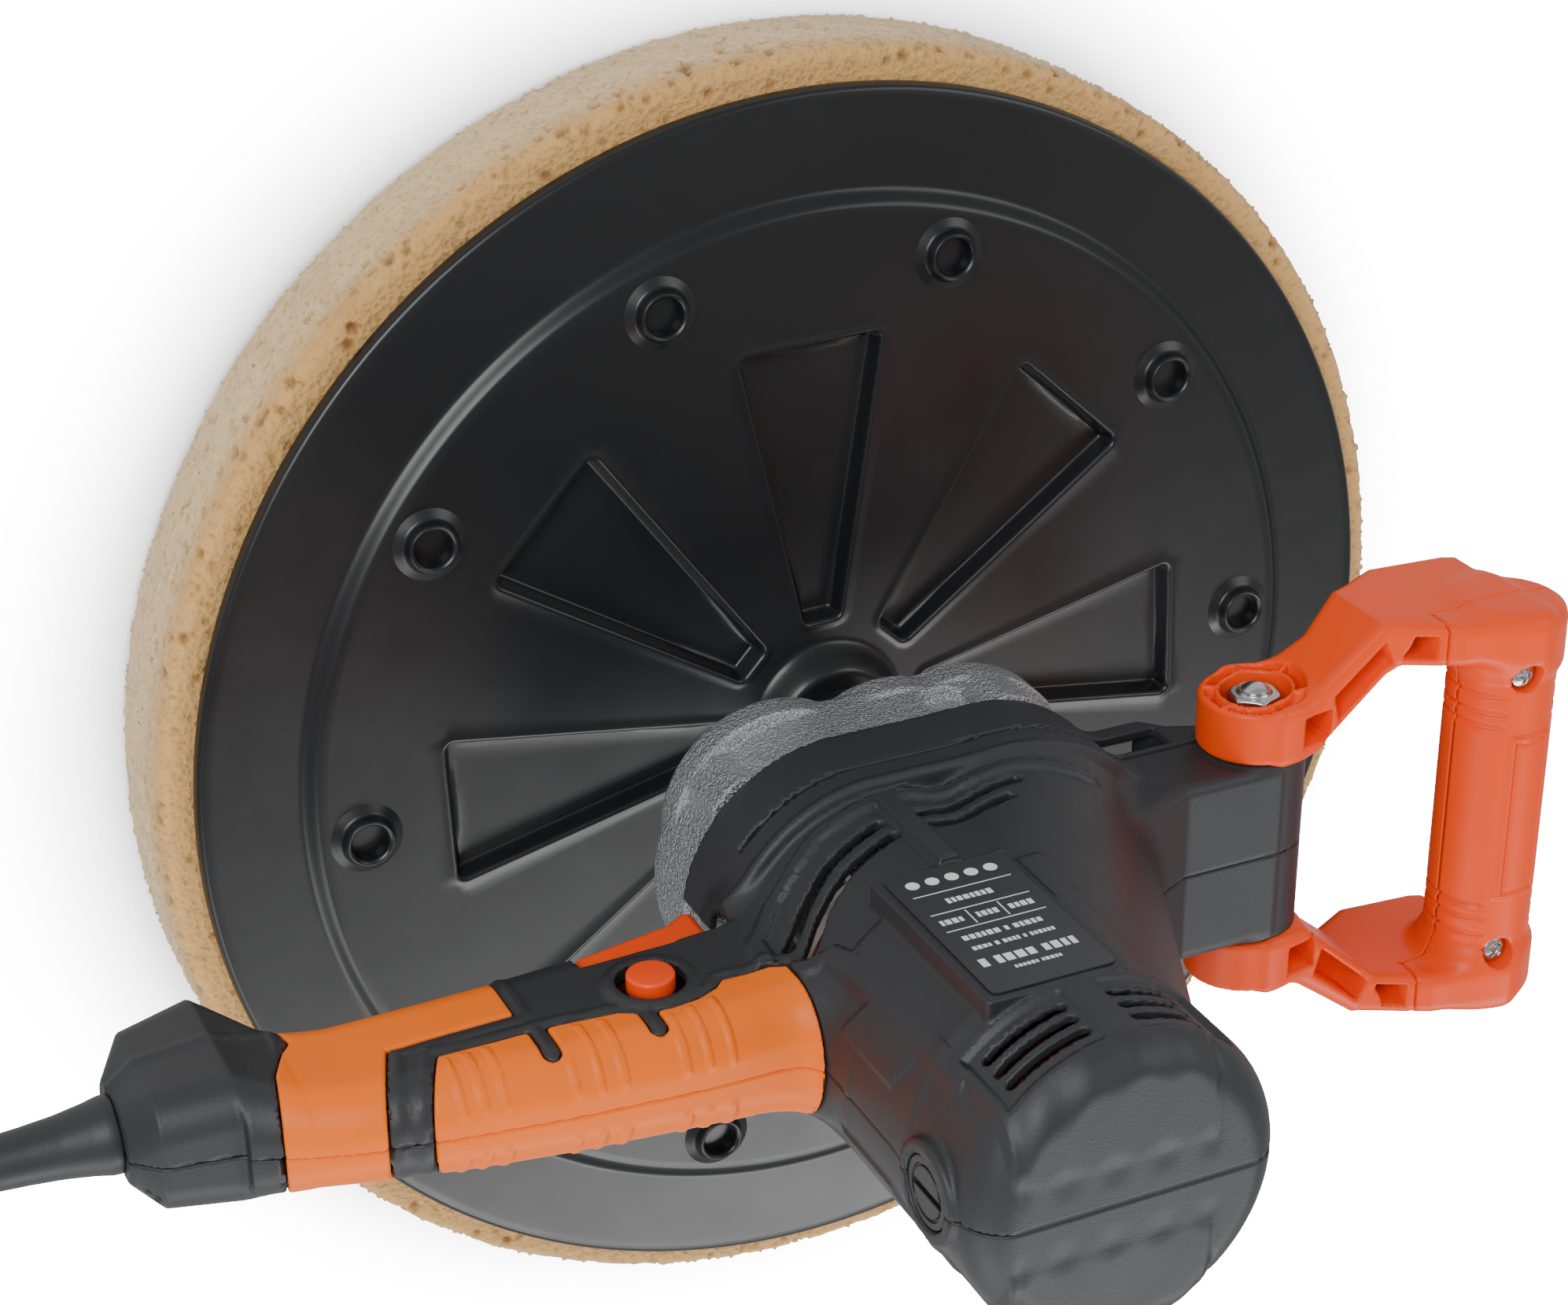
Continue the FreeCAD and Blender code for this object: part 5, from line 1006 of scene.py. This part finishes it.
def caseForm(p):
    x, y, z = p
    wall = obroundShape(p, -40, 41.9, 108, 160, 5.0) + np.maximum(0, 125 - z) * 0.02
    neck = outlineShape(np.hypot(x, y), z, caseFacts["neck"])
    form = softMin(wall, neck, 3.0)
    form = softMin(form, rodShape(p, 2, (-37, 6.1), 8, 102, 116, 1.0), 1.5)
    for cx, cy, radius in caseFacts["lugs"]:
        outward = math.atan2(cy, cx + (40 if cx < -20 else 0))
        u = (x - cx) * math.cos(outward) + (y - cy) * math.sin(outward)
        v = -(x - cx) * math.sin(outward) + (y - cy) * math.cos(outward)
        facet = np.maximum(np.abs(v) - radius, u - 6.6)
        facet = softMax(facet, (np.abs(v) + u - radius - 3.0) * 0.707, 0.8)
        lug = softMax(facet, np.maximum(111 - z, z - 160) + np.maximum(u, 0) * 0.35, 1.0)
        form = softMin(form, np.maximum(lug, -u - 12), 0.8)
    for cx, cy, radius in caseFacts["arcs"]:
        bulge = np.hypot(x - cx, np.abs(y) - cy) - radius
        form = softMin(form, softMax(bulge, np.abs(z - 112.5) - 4.6, 1.4), 0.8)
    form = form - 0.3 * (1 - step(np.abs(z - 118.2), 0.2, 0.75))
    recess = slabShape(x, z, np.abs(y), [(-9, 121.5), (-6, 119), (1, 119), (4, 121.5), (4, 131), (-9, 131)],
                       38.0, 50, 1.6)
    form = softMax(form, -recess, 0.8)
    form = softMax(form, z - 133.0, 0.5)
    hollow = obroundShape(p, -40, 37.4, 112, 150, 1.0)
    bore = outlineShape(np.hypot(x, y), z, [(0, 60), (10, 60), (10, 71), (8, 71), (8, 80), (14, 80),
                                            (14, 116), (0, 116)])
    bore = np.minimum(bore, rodShape(p, 2, (-37, 6.1), 4.03, 104, 130))
    for angle, cx in ((132, -40), (-132, -40), (70, 0), (-70, 0)):
        sx, sy = cx + 36.8 * math.cos(math.radians(angle)), 36.8 * math.sin(math.radians(angle))
        form = np.minimum(form, rodShape(p, 2, (sx, sy), 4.6, 110, 129))
        bore = np.minimum(bore, rodShape(p, 2, (sx, sy), 2.1, 100, 140))
        bore = np.minimum(bore, rodShape(p, 2, (sx, sy), 4.2, 100, 111))
    return softMax(softMax(form, -hollow, 0.5), -bore, 0.3)


moulded("gearCase", caseForm, (-84, -46, 65), (46, 46, 134), 1.0, "cast_alloy", "housing", ["gear_case"])


# D-handle

loopFacts = {
    "plan": [(60, 27.3), (85, 27.3), (108, 47.5), (146, 47.5), (146, 60), (103, 60), (80, 42.3), (60, 42.3)],
    "side": [(72, 143), (92, 149), (108, 143), (120, 137), (143, 139), (156, 145), (160, 170), (155, 181),
             (143, 185.5), (122, 181), (104, 171.5), (90, 171.5), (72, 173)],
    "windows": [[(78.5, 31), (87.5, 31), (87.5, 39), (78.5, 39)],
                [(90.5, 35.5), (105.5, 49), (103.5, 55), (88.5, 42.5)],
                [(108, 50.5), (115.5, 50.5), (115.5, 56.5), (110.5, 56.5)]],
}


def loopForm(p):
    x, y, z = p
    ay = np.abs(y)
    q = (x, ay, z)
    arm = softMax(outlineShape(x, ay, loopFacts["plan"]), outlineShape(x, z, loopFacts["side"]), 3.5)
    ear = rodShape(q, 1, places["hinge"], 15.0, 27.3, 42.3, 1.4)
    end = rodShape(q, 1, places["grip"], 16.0, 40, 60, 4.5)
    bar = rodShape(q, 1, places["grip"], 14.6, -1, 58)
    form = softMin(softMin(arm, ear, 5.0), softMin(end, bar, 1.5), 5.0)
    grooves = np.zeros(x.shape, np.float32)
    for at in (27.5, 31.5, 36.5):
        grooves += 0.85 * (1 - step(np.abs(ay - at), 0.3, 1.1))
    pane = np.maximum(np.abs(x - 144) - 6.6, ay - 25.0)
    pane = np.where(z > 172, pane, 9.0)
    lift = 0.7 * (1 - step(pane, -0.6, 0.3)) - 0.55 * (1 - step(np.abs(pane + 1.9), 0.1, 0.7))
    grooves *= step(np.where(z > 172, np.abs(x - 144) - 8.0, 9.0), 0, 1)
    form = form + grooves * (x > 124) - lift
    r = np.hypot(x - hingeX, z - hingeZ)
    turn = np.arctan2(z - hingeZ, x - hingeX) + 0.35
    spoke = np.abs(np.sin(3 * turn)) * r / 3 - 0.8
    ringCut = softMax(softMax(np.abs(r - 11.95) - 1.35, -spoke, 0.4), 38.4 - ay, 0.4)
    seat = softMax(r - 9.3, 36.9 - ay, 0.3)
    form = softMax(form, -np.minimum(ringCut, seat), 0.5)
    form = np.maximum(form, 4.05 - r)
    for corners in loopFacts["windows"]:
        window = softMax(outlineShape(x, ay, corners) - 0.2, 160 - z, 0.8)
        form = softMax(form, -window, 0.7)
    screw = np.hypot(x - 140.3, ay - 42.5)
    form = softMax(form, -softMax(screw - 4.3, 181.0 - z, 0.3), 0.5)
    return np.maximum(form, -softMax(screw - 1.9, 150 - z, 0.2))


def coverSpace(p):
    return np.maximum(118.15 - p[0], 170.1 - p[2])


moulded("handleFrame", lambda p: softMax(loopForm(p), -coverSpace(p) + 0.15, 0.35), (55, -61, 136),
        (161, 61, 188), 0.95, "handle_plastic", "d_handle", ["handle_frame"])
moulded("gripCover", lambda p: softMax(loopForm(p), coverSpace(p) + 0.15, 0.35), (116, -61, 168),
        (161, 61, 188), 0.85, "handle_plastic", "d_handle", ["grip_cover"])
print("handles ready")


# trigger and lock button

triggerFacts = {
    "tongue": [(-131, 158), (-129, 155), (-116, 154.5), (-116, 164.4), (-129, 164.4), (-131, 163)],
    "paddle": [(-122.6, 160), (-121, 155.5), (-106, 152.5), (-95, 150.5), (-89, 146.5), (-86.3, 148),
               (-86.5, 155), (-86.5, 162.3), (-99, 165), (-119, 165), (-122.6, 163.6)],
}


def triggerForm(p):
    tongue = slabShape(p[0], p[2], p[1], triggerFacts["tongue"], -5.2, 5.2, 0.8)
    paddle = slabShape(p[0], p[2], p[1], triggerFacts["paddle"], -11.4, 11.4, 2.6)
    return np.maximum(softMin(tongue, paddle, 0.8), -rodShape(p, 1, places["pivot"], 1.55, -10, 10))


moulded("triggerPaddle", triggerForm, (-132, -12, 145), (-85, 12, 166), 0.65, "button_plastic", "trigger",
        ["trigger"])
button = turnedMesh("lockButtonCap", [(0, 7.8)] + rounded(
    [(0, 7.8), (2.5, 7.8), (2.5, 13.0), (6.0, 13.0), (6.0, 17.9), (0, 17.95)], 0.8)[1:],
    "y", (buttonX, 0, buttonZ))
joined(button, "button_plastic", "lock_button", ["lock_button"])


# screws, nut, washers, brush caps

def crossHead(p):
    x, y, z = p
    r = np.hypot(x, y)
    dome = np.sqrt(r ** 2 + (z + 5.2) ** 2) - 7.6
    form = softMax(softMax(dome, r - 3.75, 0.5), -z, 0.3)
    for turn in (0.5, 0.5 + math.pi / 2):
        u = x * math.cos(turn) + y * math.sin(turn)
        v = -x * math.sin(turn) + y * math.cos(turn)
        arm = np.maximum(np.abs(v) - 0.62, np.abs(u) - 2.35 + np.maximum(0, 2.2 - z) * 0.5)
        form = softMax(form, -softMax(arm, 0.9 - z, 0.2), 0.15)
    return form


def headMesh(name, size):
    spots, faces, normals = skinned(crossHead, (-4, -4, -0.2), (4, 4, 2.8), 0.27)
    return meshFrom(name, spots * size, faces, normals)


gripScrews = repeated("gripScrews", headMesh("head", 1.0), [(140.3, y, 181.0) for y in (-42.5, 42.5)],
                      [(0, 0, 0.3), (0, 0, 1.1)], "zinc_steel")
joined(gripScrews, "zinc_steel", "d_handle", ["grip_screws"])
shellScrews = repeated("shellScrews", headMesh("head", 0.88), [(x, rest, z) for x, z, rest in screwsAt],
                       [(math.pi / 2, k * 0.4, 0) for k in range(len(screwsAt))], "zinc_steel")
joined(shellScrews, "zinc_steel", "housing")


def nutForm(p):
    x, y, z = p
    u, v = x - hingeX, z - hingeZ
    r = np.hypot(u, v)
    hexes = np.max(np.stack([np.abs(u * math.cos(a) + v * math.sin(a)) for a in (0.2, 0.2 + math.pi / 3,
                                                                                 0.2 + 2 * math.pi / 3)]), 0)
    low = 38.45
    prism = softMax(hexes - 6.4, np.abs(y - low - 1.75) - 1.75, 0.5)
    prism = softMax(prism, (r - 7.5) * 0.7 + (y - low - 3.5) * 0.7 + 0.6, 0.3)
    dome = softMax(np.sqrt(r ** 2 + (y - low - 0.9) ** 2) - 5.3, low - y, 0.3)
    return np.maximum(softMin(prism, dome, 0.3), -np.maximum(r - 4.0, y - low - 4.4))


moulded("hingeNut", nutForm, (63, 38, 149), (81, 46, 167), 0.32, "zinc_steel", "housing", ["hinge_nut"])
for name, side in (("hingeWasherLeft", 1), ("hingeWasherRight", -1)):
    section = rounded([(4.05, 36.86), (8.6, 36.86), (8.6, 38.4), (4.05, 38.4)], 0.25, 3, True)
    washer = turnedMesh(name, section, "y" if side > 0 else "-y", (hingeX, 0, hingeZ), closed=True)
    joined(washer, "zinc_steel", "housing", ["hinge_washers"] if side > 0 else ())


def capForm(p):
    x, y, z = p
    r = np.hypot(y, z - places["brush"])
    out = np.abs(x + 40)
    form = edged(r - 8.9, np.abs(out - 39.5) - 1.5, 0.5)
    form = softMax(form, -np.maximum(np.abs(r - 6.6) - 0.35, 40.4 - out), 0.2)
    slot = np.maximum(np.abs(y) - 0.85, np.abs(z - places["brush"]) - 6.2)
    return softMax(form, -np.maximum(slot, 39.7 - out), 0.2)


for name, low, high in (("brushCapLeft", -82, -77), ("brushCapRight", -3, 2)):
    moulded(name, capForm, (low, -10, 255), (high, 10, 275), 0.42, "cap_plastic", "housing",
            ["brush_caps"] if low < -50 else ())


# rating label with generic rules and bars

labelFacts = {"left": -60.0, "right": -28.0, "low": 201.0, "high": 256.0, "face": 40.62, "seed": 12}
g = labelFacts


sheetSpots = []
corner = []
for cx, cz, start in ((-30, 254, 0), (-58, 254, 90), (-58, 203, 180), (-30, 203, 270)):
    turns = [math.radians(start + k * 15) for k in range(7)]
    corner += [(cx + 2 * math.cos(a), cz + 2 * math.sin(a)) for a in turns]
count = len(corner)
for y in (g["face"], g["face"] + 0.36):
    sheetSpots += [(x, y, z) for x, z in corner]
shape = bmesh.new()
made = [shape.verts.new([c * mm for c in s]) for s in sheetSpots]
shape.faces.new(made[:count])
shape.faces.new(made[count:][::-1])
for i in range(count):
    j = (i + 1) % count
    shape.faces.new([made[i], made[i + count], made[j + count], made[j]])
bmesh.ops.recalc_face_normals(shape, faces=shape.faces)
labelMesh = bpy.data.meshes.new("ratingLabel")
shape.to_mesh(labelMesh)
shape.free()
label = bpy.data.objects.new("ratingLabel", labelMesh)
scene.collection.objects.link(label)
joined(label, "label_film", "housing", ["rating_label"])

rng = np.random.default_rng(g["seed"])
bars = []
for z in (211.6, 220.4, 228.4):
    bars.append((-57.0, -31.0, z, 0.35))
for x in (-48.5, -40.0):
    bars.append((x - 0.17, x + 0.17, 224.4, 6.2))
for z, start, end, tall, wide in ((216.0, -50.5, -38.5, 2.3, 1.3), (224.4, -56.5, -50, 2.3, 1.3),
                                  (224.4, -47, -41.5, 2.3, 1.3), (224.4, -38.5, -31.5, 2.3, 1.3),
                                  (232.4, -55, -34, 2.1, 1.3), (237.2, -55, -33.5, 1.6, 1.0),
                                  (243.6, -56.5, -31.5, 3.4, 2.1), (248.0, -50, -38, 1.3, 0.9)):
    x = start
    while x < end - 0.4:
        long = wide * (0.65 + 0.5 * rng.random())
        bars.append((x, min(x + long, end), z, tall * (0.85 + 0.15 * rng.random())))
        x += long + wide * 0.32 + (wide * 0.7 if rng.random() < 0.12 else 0)
spots, faces = [], []
top = g["face"] + 0.365


def addPrint(ring):
    first = len(spots)
    for y in (top - 0.05, top + 0.02):
        spots.extend((x, y, z) for x, z in ring)
    n = len(ring)
    faces.append(tuple(first + i for i in range(n)))
    faces.append(tuple(first + n + i for i in reversed(range(n))))
    for i in range(n):
        j = (i + 1) % n
        faces.append((first + i, first + n + i, first + n + j, first + j))


for x0, x1, z, tall in bars:
    addPrint([(x0, z - tall / 2), (x1, z - tall / 2), (x1, z + tall / 2), (x0, z + tall / 2)])
for k in range(5):
    cx = -54.5 + k * 5.2
    addPrint([(cx + 1.75 * math.cos(a), 206.4 + 1.75 * math.sin(a))
              for a in np.linspace(0, 2 * math.pi, 18, endpoint=False)])
inkMesh = bpy.data.meshes.new("labelPrint")
inkMesh.from_pydata([tuple(c * mm for c in s) for s in spots], [], faces)
shape = bmesh.new()
shape.from_mesh(inkMesh)
bmesh.ops.recalc_face_normals(shape, faces=shape.faces)
shape.to_mesh(inkMesh)
shape.free()
ink = bpy.data.objects.new("labelPrint", inkMesh)
scene.collection.objects.link(ink)
ink.data.materials.append(finishes["print_white"])
joined(ink, "label_film", "housing")
print("small pieces ready")


# sleeve, mains lead and plug

sleeve = turnedMesh("cordSleeve", rounded(
    [(4.02, -5.5), (7.0, -5.5), (7.0, -3.0), (6.0, -3.0), (6.0, 0.0), (9.5, 0.0), (9.4, 2.5), (8.6, 6),
     (7.5, 13), (6.8, 21), (6.3, 30), (5.9, 40), (5.6, 50), (5.4, 52.0), (4.02, 52.0)], 0.7, 3, True),
    "-x", (-238, 0, 163), closed=True)
joined(sleeve, "lead_rubber", "housing", ["cord_sleeve"])

coilFacts = {"x": -335.0, "y": -34.0, "outer": 52.0, "inner": 35.8, "pitch": 8.1, "low": 4.05, "gap": 7.95,
             "perTurn": 16}
leadSpots = [(-290, 0, 163), (-325, 0, 163), (-355, 4, 145), (-371, 13, 112), (-376, 24, 78), (-369, 32, 44),
             (-350, 33, 17), (-322, 22, 4.6), (-298, 3, 4.05)]
c = coilFacts
angle = math.atan2(leadSpots[-1][1] - c["y"], leadSpots[-1][0] - c["x"])
turnStep = 2 * math.pi / c["perTurn"]
route = [tuple(s) for s in leadSpots[:-1]]
radius, z = math.hypot(leadSpots[-1][1] - c["y"], leadSpots[-1][0] - c["x"]), c["low"]
for k in range(2 * c["perTurn"]):
    route.append((c["x"] + radius * math.cos(angle), c["y"] + radius * math.sin(angle), z))
    angle -= turnStep
    radius = max(c["inner"], radius - c["pitch"] / c["perTurn"])
for k in range(c["perTurn"]):
    t = step((k + 1) / c["perTurn"], 0.0, 1.0)
    route.append((c["x"] + radius * math.cos(angle), c["y"] + radius * math.sin(angle),
                  c["low"] + c["gap"] * t))
    angle -= turnStep
for k in range(2 * c["perTurn"]):
    route.append((c["x"] + radius * math.cos(angle), c["y"] + radius * math.sin(angle), c["low"] + c["gap"]))
    angle -= turnStep
    radius = min(c["outer"] - 0.2, radius + c["pitch"] / c["perTurn"])
last = int(round(((angle - math.pi) % (2 * math.pi)) / turnStep))
for k in range(last + 1):
    t = step((k + 1) / (last + 1), 0.0, 1.0)
    route.append((c["x"] + radius * math.cos(angle), c["y"] + radius * math.sin(angle),
                  c["low"] + c["gap"] * (1 + t)))
    angle -= (((angle - math.pi) % (2 * math.pi)) / max(1, last - k)) if k < last else 0
route += [(-389.0, -18, 19.8), (-390, 2, 19)]
cordData = bpy.data.curves.new("mainsLead", "CURVE")
cordData.dimensions = "3D"
cordData.bevel_depth = 4 * mm
cordData.bevel_resolution = 4
cordData.use_fill_caps = True
line = cordData.splines.new("NURBS")
line.points.add(len(route) - 1)
for point, spot in zip(line.points, route):
    point.co = (*[v * mm for v in spot], 1)
line.order_u = 3
line.use_endpoint_u = True
line.resolution_u = 6
mainsLead = bpy.data.objects.new("mainsLead", cordData)
scene.collection.objects.link(mainsLead)
cordData.materials.append(finishes["lead_rubber"])
joined(mainsLead, "lead_rubber", "housing", ["cord_lead", "cord_coil", "cord_tail"])
plugProfile = [(0, 0), (5.6, 0), (6.4, 6), (6.6, 14), (11, 20), (16.5, 27), (18.5, 33), (18.5, 44), (0, 44)]
plug = turnedMesh("plugBody", [(0, 0)] + rounded(plugProfile, 1.4)[1:], "y", (-390, 2, 19))
joined(plug, "lead_rubber", "housing", ["plug_body"])
pin = turnedMesh("pin", [(0, 0), (2.4, 0), (2.4, 17.4), (1.9, 18.6), (0.9, 19), (0, 19)], "y", sides=24)
pins = repeated("plugPins", pin, [(-390 + x, 46, 19) for x in (-9.5, 9.5)], [(0, 0, 0)] * 2, "nickel_brass")
joined(pins, "nickel_brass", "housing", ["plug_pins"])
probe = mainsLead.copy()
probe.data = cordData.copy()
probe.data.bevel_depth = 0
scene.collection.objects.link(probe)
thin = bpy.data.meshes.new_from_object(probe.evaluated_get(bpy.context.evaluated_depsgraph_get()))
bpy.data.objects.remove(probe)
